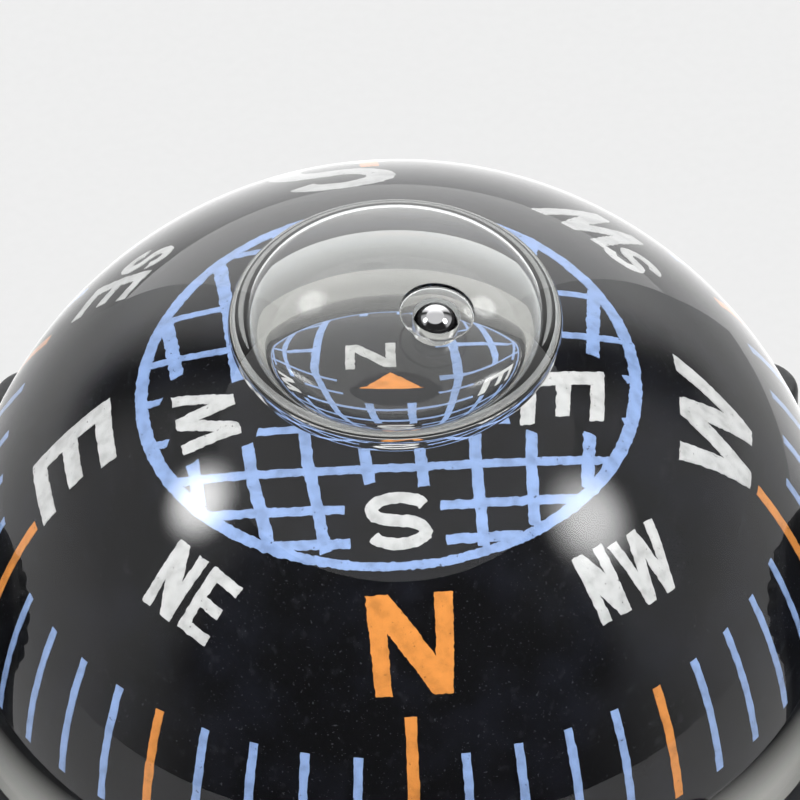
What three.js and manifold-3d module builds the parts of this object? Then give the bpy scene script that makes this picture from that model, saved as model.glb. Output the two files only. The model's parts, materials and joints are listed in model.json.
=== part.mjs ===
import * as THREE from 'three';
import { mergeVertices } from 'three/addons/utils/BufferGeometryUtils.js';
import Module from 'manifold-3d';

const wasm = await Module();
wasm.setup();

// Car dashboard compass: a black card ball floats in a clear, oil-filled ball with an air bubble at its top.
// A clamp band with two ears holds the ball in a U bracket, which turns on a foot with a suction cup.
// Millimetres, +Z up, the driver looks along +Y. The origin is on the floor, below the middle of the ball.

// Gaps and cutters
const clearance = 0.3;
const turningGap = 0.05;
const threadGap = 0.05;
const overrun = 1;

// Facets round a full turn, and steps in a quarter arc
const ballSegments = 28;
const quarterSteps = 7;
const coarseQuarterSteps = 5;
const ringSegments = 36;
const smallSegments = 14;

// Clear capsule: a dome and a bowl, joined at flanges below the ball's widest line
const ballRadius = 20;
const shellWall = 1.8;
const seamDrop = 3.6;
const flangeWidth = 1.4;
const flangeThickness = 1.1;

// Filling hole off the dome's top, its recess and the steel ball that plugs it
const plugOffsetX = 1.84;
const plugOffsetY = -2.66;
const plugRadius = 1;
const plugGap = 0.05;
const recessRadius = 1.65;
const recessDepth = 0.7;

// Air bubble at the top of the oil, and the oil left above and below the card ball
const bubbleRadius = 6.9;
const oilAboveCard = 1.3;
const oilBelowCard = 1.8;

// Card ball, which floats below the ball's centre
const cardDrop = 2.2;
const cardWall = 1.2;
const cardLipWall = 0.8;
const cardLipHeight = 1.5;
const cardFloor = 3.2;
const pipRadius = 1;

// Ballast, magnet carrier and magnets inside the card ball
const ballastGap = 0.7;
const ballastBore = 2;
const ballastHeight = 2.4;
const postRadius = 1.6;
const spigotRadius = 1;
const carrierGap = 4.4;
const carrierThickness = 1.6;
const carrierDrop = 2;
const magnetLength = 10;
const magnetWidth = 3;
const magnetHeight = 1.8;
const magnetSpacing = 8.4;
const magnetPocket = 1;

// Clamp band round the flanges
const bandLip = 1;
const bandWall = 1.9;
const bandChamfer = 0.4;
const bandScrewRadius = 0.85;
const bandScrewWall = 0.8;
const bandScrewTip = 1.4;
const bandScrewHeadRadius = 1.5;
const bandScrewHeadHeight = 1;
const lugRadius = 1.9;
const lugCount = 4;

// Ears on the band, with threaded inserts for the pivot bolts
const earRadius = 3.4;
const earLength = 4.5;
const earGap = 0.5;
const insertRadius = 2.3;
const insertLength = 3.5;

// Bolts, washers and clamp knobs
const boltRadius = 1.5;
const boltLength = 10;
const boltHeadAcross = 5.5;
const boltHeadHeight = 2;
const boltHole = 1.7;
const washerRadius = 3.4;
const washerThickness = 0.5;
const knobRadius = 5.4;
const knobLength = 6;
const knobFluteDepth = 0.4;
const knobFlutes = 16;
const knobBevel = 0.5;

// U bracket
const yokeThickness = 2.8;
const yokeWidth = 12;
const padLength = 15;
const padDrop = 0.8;

// Swivel between the bracket and the foot
const swivelSink = 0.4;
const swivelScrewLength = 8;
const swivelHeadRadius = 2.8;
const swivelHeadHeight = 1.7;
const springWasherRadius = 3;
const springWasherThickness = 0.7;
const discRadius = 6;
const discThickness = 0.5;

// Foot with a T-slot, open to the rear
const footRadius = 12;
const footTopRadius = 9.6;
const footLip = 2;
const footTopChamfer = 1.2;

// Suction cup with its stud and pull tab
const cupRadius = 21;
const cupRim = 1.4;
const cupEdge = 0.9;
const cupHollow = 3.6;
const cupShoulderHeight = 7;
const cupShoulderRadius = 6;
const studNeckRadius = 3.6;
const studHeadRadius = 5;
const studHeadHeight = 2.5;
const studHeadChamfer = 0.7;
const tabLength = 2.6;
const tabWidth = 8;
const tabThickness = 1;

// Heights above the floor, worked up from the suction cup
const footBottom = cupShoulderHeight + turningGap;
const studHeadBottom = footBottom + footLip + turningGap;
const slotTop = studHeadBottom + studHeadHeight + clearance;
const footTop = slotTop + insertLength;
const discBottom = footTop + turningGap;
const padBottom = discBottom + discThickness + turningGap;

// Places along the tilt axis, worked out from the ball
const earInner = ballRadius + earGap;
const earOuter = earInner + earLength;
const innerWasherX = earOuter + turningGap;
const armInner = innerWasherX + washerThickness + turningGap;
const armOuter = armInner + yokeThickness;
const outerWasherX = armOuter + turningGap;
const knobInner = outerWasherX + washerThickness + turningGap;
const knobOuter = knobInner + knobLength;

// The arms stay flat past the washers, and the tilt axis runs through the ball's centre
const yokeArcDrop = washerRadius + clearance;
const axisHeight = padBottom + padDrop + armOuter + yokeArcDrop;

// Sizes of the capsule that other pieces follow
const innerRadius = ballRadius - shellWall;
const flangeRadius = ballRadius + flangeWidth;
const lipInner = ballRadius + clearance;
const wallInner = flangeRadius + clearance;
const bandRadius = wallInner + bandWall;
const seamTop = flangeThickness - seamDrop;
const seamBottom = -flangeThickness - seamDrop;
const bandTop = seamTop + bandLip;
const bandBottom = seamBottom - bandLip;
const lugCircle = wallInner + bandScrewWall + bandScrewRadius;
const plugBottom = ballRadius - 2 * plugRadius;
const oilRadius = Math.min(innerRadius - clearance, plugBottom - turningGap);

// Sizes of the card ball and of what it holds
const cardRadius = innerRadius - oilBelowCard - cardDrop;
const innerCardRadius = cardRadius - cardWall;
const ballastBottom = cardFloor - cardRadius;
const ballastRadius = Math.sqrt(innerCardRadius ** 2 - ballastBottom ** 2) - ballastGap;
const carrierRadius = innerCardRadius - carrierGap;
const bubbleFloor = cardRadius - cardDrop + oilAboveCard;
const bubbleDepth = Math.sqrt(innerRadius ** 2 - bubbleRadius ** 2) - bubbleFloor;
const carrierBottom = -carrierDrop - carrierThickness;

const metal = { metalness: 1, roughness: 0.25 };
const black = { color: 0x1b1b1d, roughness: 0.45, metalness: 0 };
const clearPlastic = { color: 0xf2f5f6, roughness: 0.03, metalness: 0, transparent: true, opacity: 0.35 };
const oil = { color: 0xf6f7f4, roughness: 0.02, metalness: 0, transparent: true, opacity: 0.2 };
const cardBlack = { color: 0x17181b, roughness: 0.5, metalness: 0 };
const naturalNylon = { color: 0xd8d8d2, roughness: 0.5, metalness: 0 };
const steel = { ...metal, color: 0xc9cbcd };
const brass = { ...metal, color: 0xb8924a };
const lead = { ...metal, color: 0x7d8084, roughness: 0.6 };
const fibre = { color: 0x6b3a2a, roughness: 0.9, metalness: 0 };
const softClear = { color: 0xdfe5e6, roughness: 0.15, metalness: 0, transparent: true, opacity: 0.5 };

// A point of an outline: distance from the axis, and height
function at(radius, height) {
  return new THREE.Vector2(radius, height);
}

// Points on a circle about a centre on the axis, between two angles above the horizontal
function arc(radius, centreHeight, fromAngle, toAngle, steps) {
  const points = [];
  for (let i = 0; i <= steps; i += 1) {
    const angle = fromAngle + ((toAngle - fromAngle) * i) / steps;
    points.push(at(radius * Math.max(Math.cos(angle), 0), centreHeight + radius * Math.sin(angle)));
  }
  return points;
}

// Welds a geometry's corners, drops triangles with no area and turns the faces outward
function weld(geometry) {
  const bare = geometry.clone();
  for (const name of Object.keys(bare.attributes)) {
    if (name !== 'position') {
      bare.deleteAttribute(name);
    }
  }
  const merged = mergeVertices(bare);
  const position = merged.getAttribute('position');
  const index = merged.getIndex().array;
  const corner = (i) => new THREE.Vector3().fromBufferAttribute(position, i);
  let triangles = [];
  let volume = 0;
  for (let i = 0; i < index.length; i += 3) {
    const [a, b, c] = [index[i], index[i + 1], index[i + 2]];
    if (a !== b && b !== c && c !== a) {
      triangles.push(a, b, c);
      volume += corner(a).dot(corner(b).cross(corner(c)));
    }
  }
  if (volume < 0) {
    triangles = triangles.reverse();
  }
  merged.setIndex(triangles);
  return merged;
}

// A welded geometry as a solid that can be cut and joined
function solid(geometry) {
  const welded = weld(geometry);
  const vertProperties = new Float32Array(welded.getAttribute('position').array);
  const triVerts = new Uint32Array(welded.getIndex().array);
  return new wasm.Manifold(new wasm.Mesh({ numProp: 3, vertProperties, triVerts }));
}

// A cut or joined solid as a geometry
function shape(body) {
  const mesh = body.getMesh();
  const geometry = new THREE.BufferGeometry();
  geometry.setAttribute('position', new THREE.BufferAttribute(new Float32Array(mesh.vertProperties), 3));
  geometry.setIndex(new THREE.BufferAttribute(new Uint32Array(mesh.triVerts), 1));
  return geometry;
}

// An outline turned round the Z axis
function turned(profile, segments) {
  const geometry = new THREE.LatheGeometry(profile, segments);
  geometry.rotateX(Math.PI / 2);
  return weld(geometry);
}

// A ring of rectangular section on the Z axis
function ring(inner, outer, bottom, top, segments) {
  const corners = [at(inner, bottom), at(outer, bottom), at(outer, top), at(inner, top), at(inner, bottom)];
  return turned(corners, segments);
}

// A rod along Z between two heights
function rod(radius, bottom, top, segments) {
  return turned([at(0, bottom), at(radius, bottom), at(radius, top), at(0, top)], segments);
}

// A box between two corners
function block(low, high) {
  const geometry = new THREE.BoxGeometry(high.x - low.x, high.y - low.y, high.z - low.z);
  geometry.translate((low.x + high.x) / 2, (low.y + high.y) / 2, (low.z + high.z) / 2);
  return geometry;
}

// Turns a geometry made along Z so that it runs along X
function alongX(geometry) {
  geometry.rotateY(Math.PI / 2);
  return geometry;
}

// A hexagonal rod along Z, stated by its width across the flats
function hexRod(across, bottom, top) {
  return rod(across / 2 / Math.cos(Math.PI / 6), bottom, top, 6);
}

// Direction from the ball's centre to the filling hole
function plugDirection() {
  const rise = Math.sqrt(ballRadius ** 2 - plugOffsetX ** 2 - plugOffsetY ** 2);
  return new THREE.Vector3(plugOffsetX, plugOffsetY, rise).normalize();
}

// A rod along the filling hole, between two distances from the ball's centre
function plugRod(radius, from, to) {
  const geometry = rod(radius, from, to, smallSegments);
  const up = new THREE.Vector3(0, 0, 1);
  geometry.applyQuaternion(new THREE.Quaternion().setFromUnitVectors(up, plugDirection()));
  return geometry;
}

function upperShell() {
  const profile = [
    ...arc(ballRadius, 0, Math.PI / 2, 0, quarterSteps),
    at(ballRadius, seamTop),
    at(flangeRadius, seamTop),
    at(flangeRadius, -seamDrop),
    at(innerRadius, -seamDrop),
    ...arc(innerRadius, 0, 0, Math.PI / 2, quarterSteps),
  ];
  const hole = solid(plugRod(plugRadius + plugGap, innerRadius - overrun, ballRadius + overrun));
  const recess = solid(plugRod(recessRadius, ballRadius - recessDepth, ballRadius + overrun));
  return shape(solid(turned(profile, ballSegments)).subtract(hole).subtract(recess));
}

function lowerShell() {
  const outerAngle = Math.asin(seamBottom / ballRadius);
  const innerAngle = Math.asin(-seamDrop / innerRadius);
  const profile = [
    ...arc(innerRadius, 0, -Math.PI / 2, innerAngle, quarterSteps),
    at(flangeRadius, -seamDrop),
    at(flangeRadius, seamBottom),
    ...arc(ballRadius, 0, outerAngle, -Math.PI / 2, quarterSteps),
  ];
  return turned(profile, ballSegments);
}

function fillPlugBall() {
  const geometry = new THREE.SphereGeometry(plugRadius, smallSegments, quarterSteps);
  return weld(geometry);
}

// Everything below works up from the ball's centre: the oil with the bubble, the card's room and the pip's hole
function dampingLiquid() {
  const outer = solid(turned(arc(oilRadius, 0, -Math.PI / 2, Math.PI / 2, 2 * quarterSteps), ballSegments));
  const roomRadius = cardRadius + clearance;
  const roomArc = arc(roomRadius, -cardDrop, -Math.PI / 2, Math.PI / 2, 2 * quarterSteps);
  const meniscus = [];
  for (let i = 0; i <= coarseQuarterSteps; i += 1) {
    const angle = (Math.PI / 2) * (i / coarseQuarterSteps);
    meniscus.push(at(bubbleRadius * Math.sin(angle), bubbleFloor + bubbleDepth * (1 - Math.cos(angle))));
  }
  const top = ballRadius + overrun;
  const bubble = solid(turned([...meniscus, at(bubbleRadius, top), at(0, top)], ballSegments));
  const pipHole = solid(rod(pipRadius + clearance, -top, -cardDrop, smallSegments));
  return shape(outer.subtract(solid(turned(roomArc, ballSegments))).subtract(bubble).subtract(pipHole));
}

// The card pieces have the card ball's centre as their origin
function cardUpper() {
  const lipOuter = innerCardRadius - clearance;
  const lipInnerRadius = lipOuter - cardLipWall;
  const shelfAngle = Math.asin(cardLipHeight / innerCardRadius);
  const profile = [
    ...arc(cardRadius, 0, Math.PI / 2, 0, quarterSteps),
    at(lipOuter, 0),
    at(lipOuter, -cardLipHeight),
    at(lipInnerRadius, -cardLipHeight),
    at(lipInnerRadius, cardLipHeight),
    ...arc(innerCardRadius, 0, shelfAngle, Math.PI / 2, coarseQuarterSteps).slice(1),
  ];
  return turned(profile, ballSegments);
}

function cardLower() {
  const floorAngle = Math.asin(ballastBottom / innerCardRadius);
  const pipAngle = Math.acos(pipRadius / cardRadius);
  const pipEnd = cardDrop - oilRadius;
  const profile = [
    at(0, pipEnd),
    at(pipRadius / 2, pipEnd),
    at(pipRadius, pipEnd + pipRadius / 2),
    ...arc(cardRadius, 0, -pipAngle, 0, quarterSteps),
    at(innerCardRadius, 0),
    ...arc(innerCardRadius, 0, 0, floorAngle, coarseQuarterSteps).slice(1),
    at(postRadius, ballastBottom),
    at(postRadius, carrierBottom),
    at(spigotRadius, carrierBottom),
    at(spigotRadius, -carrierDrop),
    at(0, -carrierDrop),
  ];
  return turned(profile, ballSegments);
}

function ballastWeight() {
  return ring(ballastBore, ballastRadius, ballastBottom, ballastBottom + ballastHeight, ringSegments);
}

function magnetCarrier() {
  const plate = solid(ring(spigotRadius + threadGap, carrierRadius, carrierBottom, -carrierDrop, ballSegments));
  return shape(plate.subtract(solid(magnetPocketBlock(-1))).subtract(solid(magnetPocketBlock(1))));
}

function magnetPocketBlock(side) {
  const middle = (side * magnetSpacing) / 2;
  const halfWidth = magnetWidth / 2 + threadGap;
  const halfLength = magnetLength / 2 + threadGap;
  const low = new THREE.Vector3(middle - halfWidth, -halfLength, -carrierDrop - magnetPocket);
  const high = new THREE.Vector3(middle + halfWidth, halfLength, -carrierDrop + overrun);
  return block(low, high);
}

function barMagnet(side) {
  const middle = (side * magnetSpacing) / 2;
  const bottom = -carrierDrop - magnetPocket;
  const low = new THREE.Vector3(middle - magnetWidth / 2, -magnetLength / 2, bottom);
  const high = new THREE.Vector3(middle + magnetWidth / 2, magnetLength / 2, bottom + magnetHeight);
  return block(low, high);
}

// Where the band's screws stand, between the ears
function lugPlaces() {
  const places = [];
  for (let i = 0; i < lugCount; i += 1) {
    const angle = ((i + 0.5) / lugCount) * 2 * Math.PI;
    places.push(new THREE.Vector2(lugCircle * Math.cos(angle), lugCircle * Math.sin(angle)));
  }
  return places;
}

function lugRod(place, radius, bottom, top) {
  const geometry = rod(radius, bottom, top, smallSegments);
  geometry.translate(place.x, place.y, 0);
  return solid(geometry);
}

function bandRing(profile, bottom, top) {
  let body = solid(turned(profile, ringSegments));
  const pocket = solid(rod(wallInner, seamBottom, seamTop, ringSegments));
  for (const place of lugPlaces()) {
    body = body.add(lugRod(place, lugRadius, bottom, top).subtract(pocket));
  }
  return body;
}

function ear(side) {
  const boss = solid(alongX(rod(earRadius, earInner, earOuter, ringSegments)));
  const low = new THREE.Vector3(earInner, -earRadius, seamTop);
  const high = new THREE.Vector3(bandRadius, earRadius, 0);
  const room = solid(rod(wallInner, -seamDrop - earRadius, seamTop, ringSegments));
  const geometry = shape(boss.add(solid(block(low, high))).subtract(room));
  geometry.rotateZ(side < 0 ? Math.PI : 0);
  return solid(geometry);
}

function insertHole(side) {
  const geometry = rod(insertRadius + threadGap, earOuter - insertLength, earOuter + overrun, smallSegments);
  alongX(geometry).rotateZ(side < 0 ? Math.PI : 0);
  return solid(geometry);
}

function bandUpper() {
  const profile = [
    at(lipInner, bandTop),
    at(bandRadius - bandChamfer, bandTop),
    at(bandRadius, bandTop - bandChamfer),
    at(bandRadius, -seamDrop),
    at(wallInner, -seamDrop),
    at(wallInner, seamTop),
    at(lipInner, seamTop),
    at(lipInner, bandTop),
  ];
  let body = bandRing(profile, -seamDrop, bandTop).add(ear(1)).add(ear(-1));
  for (const place of lugPlaces()) {
    const holeTop = bandScrewTip + clearance - seamDrop;
    body = body.subtract(lugRod(place, bandScrewRadius + threadGap, -seamDrop - overrun, holeTop));
  }
  return shape(body.subtract(insertHole(1)).subtract(insertHole(-1)));
}

function bandLower() {
  const profile = [
    at(lipInner, bandBottom),
    at(lipInner, seamBottom),
    at(wallInner, seamBottom),
    at(wallInner, -seamDrop),
    at(bandRadius, -seamDrop),
    at(bandRadius, bandBottom + bandChamfer),
    at(bandRadius - bandChamfer, bandBottom),
    at(lipInner, bandBottom),
  ];
  let body = bandRing(profile, bandBottom, -seamDrop);
  for (const place of lugPlaces()) {
    body = body.subtract(lugRod(place, bandScrewRadius + threadGap, bandBottom - overrun, overrun));
  }
  return shape(body);
}

// A pan-head screw that points up, with the underside of its head at height zero
function bandScrew() {
  const tip = bandScrewTip - seamDrop - bandBottom;
  const profile = [
    at(0, -bandScrewHeadHeight),
    at(bandScrewHeadRadius - bandChamfer, -bandScrewHeadHeight),
    at(bandScrewHeadRadius, bandChamfer - bandScrewHeadHeight),
    at(bandScrewHeadRadius, 0),
    at(bandScrewRadius, 0),
    at(bandScrewRadius, tip - bandScrewRadius / 2),
    at(bandScrewRadius / 2, tip),
    at(0, tip),
  ];
  return turned(profile, smallSegments);
}

function pivotInsert() {
  const start = earOuter - insertLength;
  return alongX(ring(boltRadius + threadGap, insertRadius, start, earOuter, smallSegments));
}

function flatWasher(start) {
  return alongX(ring(boltHole, washerRadius, start, start + washerThickness, smallSegments));
}

// Half outline of the bracket's section seen from the front, mirrored to the other side
function yokeOutline() {
  const outline = new THREE.Shape();
  const armTop = yokeWidth;
  outline.moveTo(armOuter, armTop);
  outline.lineTo(armOuter, -yokeArcDrop);
  outline.absarc(0, -yokeArcDrop, armOuter, 0, -Math.PI, true);
  outline.lineTo(-armOuter, armTop);
  outline.lineTo(-armInner, armTop);
  outline.lineTo(-armInner, -yokeArcDrop);
  outline.absarc(0, -yokeArcDrop, armInner, -Math.PI, 0, false);
  outline.lineTo(armInner, armTop);
  return outline;
}

// Side view of the bracket: upright, with a round end about the tilt axis
function yokeSideOutline() {
  const outline = new THREE.Shape();
  const half = yokeWidth / 2;
  outline.moveTo(-half, -axisHeight);
  outline.lineTo(half, -axisHeight);
  outline.lineTo(half, 0);
  outline.absarc(0, 0, half, 0, Math.PI, false);
  outline.lineTo(-half, -axisHeight);
  return outline;
}

function extruded(outline, depth, curveSegments) {
  const geometry = new THREE.ExtrudeGeometry(outline, { depth, curveSegments, bevelEnabled: false });
  geometry.translate(0, 0, -depth / 2);
  return geometry;
}

function yoke() {
  const front = extruded(yokeOutline(), yokeWidth, ringSegments / 2);
  front.rotateX(Math.PI / 2);
  const side = extruded(yokeSideOutline(), 2 * (armOuter + overrun), smallSegments);
  side.rotateX(Math.PI / 2);
  side.rotateZ(Math.PI / 2);
  const padLow = new THREE.Vector3(-padLength / 2, -yokeWidth / 2, padBottom - axisHeight);
  const padTop = -yokeArcDrop - (armInner + armOuter) / 2;
  const padHigh = new THREE.Vector3(padLength / 2, yokeWidth / 2, padTop);
  const armHoles = solid(alongX(rod(boltHole, -knobOuter, knobOuter, smallSegments)));
  const seat = -yokeArcDrop - armInner - swivelSink;
  const sink = solid(rod(springWasherRadius + clearance, seat, seat + overrun, smallSegments));
  const swivelHole = solid(rod(boltHole, -axisHeight, seat + overrun, smallSegments));
  const body = solid(front).intersect(solid(side)).add(solid(block(padLow, padHigh)));
  return shape(body.subtract(armHoles).subtract(sink).subtract(swivelHole));
}

function knobOutline() {
  const outline = new THREE.Shape();
  const points = 4 * knobFlutes;
  for (let i = 0; i < points; i += 1) {
    const angle = (i / points) * 2 * Math.PI;
    const dip = (knobFluteDepth * (1 + Math.cos(knobFlutes * angle))) / 2;
    const radius = knobRadius - knobBevel - dip;
    if (i === 0) {
      outline.moveTo(radius * Math.cos(angle), radius * Math.sin(angle));
    } else {
      outline.lineTo(radius * Math.cos(angle), radius * Math.sin(angle));
    }
  }
  return outline;
}

function knob() {
  const options = {
    depth: knobLength - 2 * knobBevel,
    bevelThickness: knobBevel,
    bevelSize: knobBevel,
    bevelSegments: 1,
  };
  const geometry = new THREE.ExtrudeGeometry(knobOutline(), options);
  geometry.translate(0, 0, knobInner + knobBevel);
  const bore = solid(rod(boltRadius + threadGap, knobInner - overrun, knobOuter + overrun, smallSegments));
  const seat = knobOuter - boltHeadHeight - clearance;
  const pocket = solid(hexRod(boltHeadAcross + 2 * threadGap, seat, knobOuter + overrun));
  return alongX(shape(solid(geometry).subtract(bore).subtract(pocket)));
}

function pivotBolt() {
  const seat = knobOuter - boltHeadHeight - clearance;
  const head = solid(hexRod(boltHeadAcross, seat, seat + boltHeadHeight));
  const shank = solid(rod(boltRadius, seat - boltLength, seat + boltHeadHeight / 2, smallSegments));
  return alongX(shape(head.add(shank)));
}

// The swivel pieces and the foot are placed by their height above the floor
function swivelSeat() {
  return axisHeight - yokeArcDrop - armInner - swivelSink;
}

function springWasher() {
  const bottom = swivelSeat() + turningGap;
  return ring(boltRadius + threadGap, springWasherRadius, bottom, bottom + springWasherThickness, smallSegments);
}

function swivelScrew() {
  const seat = swivelSeat() + 2 * turningGap + springWasherThickness;
  const profile = [
    at(0, seat + swivelHeadHeight),
    at(swivelHeadRadius - swivelHeadHeight / 2, seat + swivelHeadHeight),
    at(swivelHeadRadius, seat + swivelHeadHeight / 2),
    at(swivelHeadRadius, seat),
    at(boltRadius, seat),
    at(boltRadius, seat - swivelScrewLength),
    at(0, seat - swivelScrewLength),
  ];
  return turned(profile, smallSegments);
}

function frictionDisc() {
  return ring(boltHole, discRadius, discBottom, discBottom + discThickness, smallSegments);
}

function swivelInsert() {
  return ring(boltRadius + threadGap, insertRadius, slotTop, footTop, smallSegments);
}

// A slot that runs from the foot's middle out through its rear
function slot(width, bottom, top) {
  const low = new THREE.Vector3(-width / 2, 0, bottom);
  const high = new THREE.Vector3(width / 2, footRadius + overrun, top);
  return solid(rod(width / 2, bottom, top, smallSegments)).add(solid(block(low, high)));
}

function foot() {
  const profile = [
    at(0, footBottom),
    at(footRadius, footBottom),
    at(footRadius, slotTop - footLip),
    at(footTopRadius, footTop - footTopChamfer),
    at(footTopRadius - footTopChamfer, footTop),
    at(0, footTop),
  ];
  const neckWidth = 2 * (studNeckRadius + clearance);
  const headWidth = 2 * (studHeadRadius + clearance);
  const neckSlot = slot(neckWidth, footBottom - overrun, studHeadBottom);
  const headSlot = slot(headWidth, footBottom + footLip, slotTop);
  const insertHole = solid(rod(insertRadius + threadGap, slotTop - overrun, footTop + overrun, smallSegments));
  const body = solid(turned(profile, ringSegments));
  return shape(body.subtract(neckSlot).subtract(headSlot).subtract(insertHole));
}

function suctionCup() {
  const rimInner = cupRadius - cupRim;
  const hollow = [];
  for (let i = 0; i <= coarseQuarterSteps; i += 1) {
    const share = i / coarseQuarterSteps;
    hollow.push(at(rimInner * share, cupHollow * (1 - share ** 2)));
  }
  const bell = new THREE.QuadraticBezierCurve(
    at(cupRadius, cupEdge),
    at((cupRadius + cupShoulderRadius) / 2, (cupEdge + cupHollow) / 2),
    at(cupShoulderRadius, cupShoulderHeight),
  );
  const headTop = studHeadBottom + studHeadHeight;
  const profile = [
    ...hollow,
    at(cupRadius, 0),
    ...bell.getPoints(coarseQuarterSteps),
    at(studNeckRadius, cupShoulderHeight),
    at(studNeckRadius, studHeadBottom),
    at(studHeadRadius, studHeadBottom),
    at(studHeadRadius, headTop - studHeadChamfer),
    at(studHeadRadius - studHeadChamfer, headTop),
    at(0, headTop),
  ];
  const low = new THREE.Vector3(-tabWidth / 2, cupRadius - cupRim / 2, 0);
  const high = new THREE.Vector3(tabWidth / 2, cupRadius + tabLength, tabThickness);
  return shape(solid(turned(profile, ringSegments)).add(solid(block(low, high))));
}

function piece(name, geometry, look) {
  const mesh = new THREE.Mesh(geometry, new THREE.MeshStandardMaterial(look));
  mesh.name = name;
  return mesh;
}

// A piece on the tilt axis, made for the right side and turned round for the left
function sidePiece(name, geometry, look, side) {
  const mesh = piece(name, geometry, look);
  mesh.rotation.z = side < 0 ? Math.PI : 0;
  return mesh;
}

function capsuleGroup() {
  const group = new THREE.Group();
  group.add(piece('upper_shell', upperShell(), clearPlastic));
  group.add(piece('lower_shell', lowerShell(), clearPlastic));
  group.add(piece('damping_liquid', dampingLiquid(), oil));
  const plug = piece('fill_plug_ball', fillPlugBall(), steel);
  plug.position.copy(plugDirection().multiplyScalar(ballRadius - plugRadius));
  group.add(plug);
  return group;
}

function cardGroup() {
  const group = new THREE.Group();
  group.add(piece('card_upper', cardUpper(), cardBlack));
  group.add(piece('card_lower', cardLower(), naturalNylon));
  group.add(piece('magnet_carrier', magnetCarrier(), naturalNylon));
  group.add(piece('bar_magnet_left', barMagnet(-1), steel));
  group.add(piece('bar_magnet_right', barMagnet(1), steel));
  group.add(piece('ballast_weight', ballastWeight(), lead));
  group.position.z = -cardDrop;
  return group;
}

function bandGroup() {
  const group = new THREE.Group();
  group.add(piece('band_upper', bandUpper(), black));
  group.add(piece('band_lower', bandLower(), black));
  lugPlaces().forEach((place, i) => {
    const screw = piece(`band_screw_${i + 1}`, bandScrew(), steel);
    screw.position.set(place.x, place.y, bandBottom);
    group.add(screw);
  });
  return group;
}

function pivotGroup(sideName, side) {
  const group = new THREE.Group();
  group.add(sidePiece(`pivot_insert_${sideName}`, pivotInsert(), brass, side));
  group.add(sidePiece(`friction_washer_${sideName}`, flatWasher(innerWasherX), fibre, side));
  group.add(sidePiece(`washer_${sideName}`, flatWasher(outerWasherX), steel, side));
  group.add(sidePiece(`knob_${sideName}`, knob(), black, side));
  group.add(sidePiece(`pivot_bolt_${sideName}`, pivotBolt(), steel, side));
  return group;
}

function baseGroup() {
  const group = new THREE.Group();
  group.add(piece('spring_washer', springWasher(), steel));
  group.add(piece('swivel_screw', swivelScrew(), steel));
  group.add(piece('friction_disc', frictionDisc(), fibre));
  group.add(piece('swivel_insert', swivelInsert(), brass));
  group.add(piece('foot', foot(), black));
  group.add(piece('suction_cup', suctionCup(), softClear));
  return group;
}

const compass = new THREE.Group();
const ball = new THREE.Group();
ball.position.z = axisHeight;
ball.add(capsuleGroup(), cardGroup(), bandGroup());
ball.add(pivotGroup('left', -1), pivotGroup('right', 1));
ball.add(piece('yoke', yoke(), black));
compass.add(ball, baseGroup());

export default compass;
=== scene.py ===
import json
import math

import bmesh
import bpy
from mathutils import Matrix, Quaternion, Vector, noise
from mathutils.geometry import delaunay_2d_cdt


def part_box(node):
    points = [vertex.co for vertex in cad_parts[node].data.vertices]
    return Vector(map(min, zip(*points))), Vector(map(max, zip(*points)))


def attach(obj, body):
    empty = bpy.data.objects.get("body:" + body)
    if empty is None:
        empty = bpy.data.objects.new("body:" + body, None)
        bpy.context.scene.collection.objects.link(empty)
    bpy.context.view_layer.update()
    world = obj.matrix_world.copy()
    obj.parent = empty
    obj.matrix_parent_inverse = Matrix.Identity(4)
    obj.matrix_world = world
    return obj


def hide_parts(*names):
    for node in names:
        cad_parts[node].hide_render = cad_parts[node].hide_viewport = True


bl_info = {
    "name": "Car dashboard compass",
    "version": (1, 0, 0),
    "blender": (4, 5, 0),
    "location": "View3D > Sidebar > Compass",
    "description": "Builds a liquid-filled dashboard ball compass round its packed CAD frame",
    "category": "Object",
}

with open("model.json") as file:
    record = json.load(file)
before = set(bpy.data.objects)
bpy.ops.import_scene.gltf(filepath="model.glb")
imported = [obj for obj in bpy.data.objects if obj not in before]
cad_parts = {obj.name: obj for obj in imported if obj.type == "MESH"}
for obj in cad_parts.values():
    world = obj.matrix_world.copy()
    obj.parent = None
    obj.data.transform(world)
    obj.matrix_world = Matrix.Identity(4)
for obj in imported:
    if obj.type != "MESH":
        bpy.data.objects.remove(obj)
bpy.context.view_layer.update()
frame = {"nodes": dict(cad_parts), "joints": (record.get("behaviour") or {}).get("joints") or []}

MM = 0.001
CENTRE = Vector(next(j["pos_m"] for j in frame["joints"] if j["name"] == "tilt"))

# Lengths below are in millimetres. Heights are above the ball's centre, and above the floor for
# the swivel, the foot and the cup.
AXIS = CENTRE.z / MM
SPARE = 1.0  # how far a cutting form reaches past what it cuts
POLE = math.pi / 2
AROUND = 2 * math.pi


# ---------------------------------------------------------------- sizes and colours

def length(label, text, default):
    """A size that a user can change, in metres."""
    return bpy.props.FloatProperty(name=label, description=text, default=default, min=0,
                                   precision=5, unit="LENGTH", subtype="DISTANCE")


def angle(label, text, degrees):
    """An angle that a user can change."""
    return bpy.props.FloatProperty(name=label, description=text, default=math.radians(degrees),
                                   unit="ROTATION", subtype="ANGLE")


def linear(code):
    """An sRGB hex colour as linear values with alpha."""
    values = [int(code[i:i + 2], 16) / 255 for i in (1, 3, 5)]
    return [v / 12.92 if v <= 0.04045 else ((v + 0.055) / 1.055) ** 2.4 for v in values] + [1.0]


def colour(label, text, code):
    """A colour that a user can change."""
    return bpy.props.FloatVectorProperty(name=label, description=text, default=linear(code),
                                         size=4, min=0, max=1, subtype="COLOR")


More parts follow.
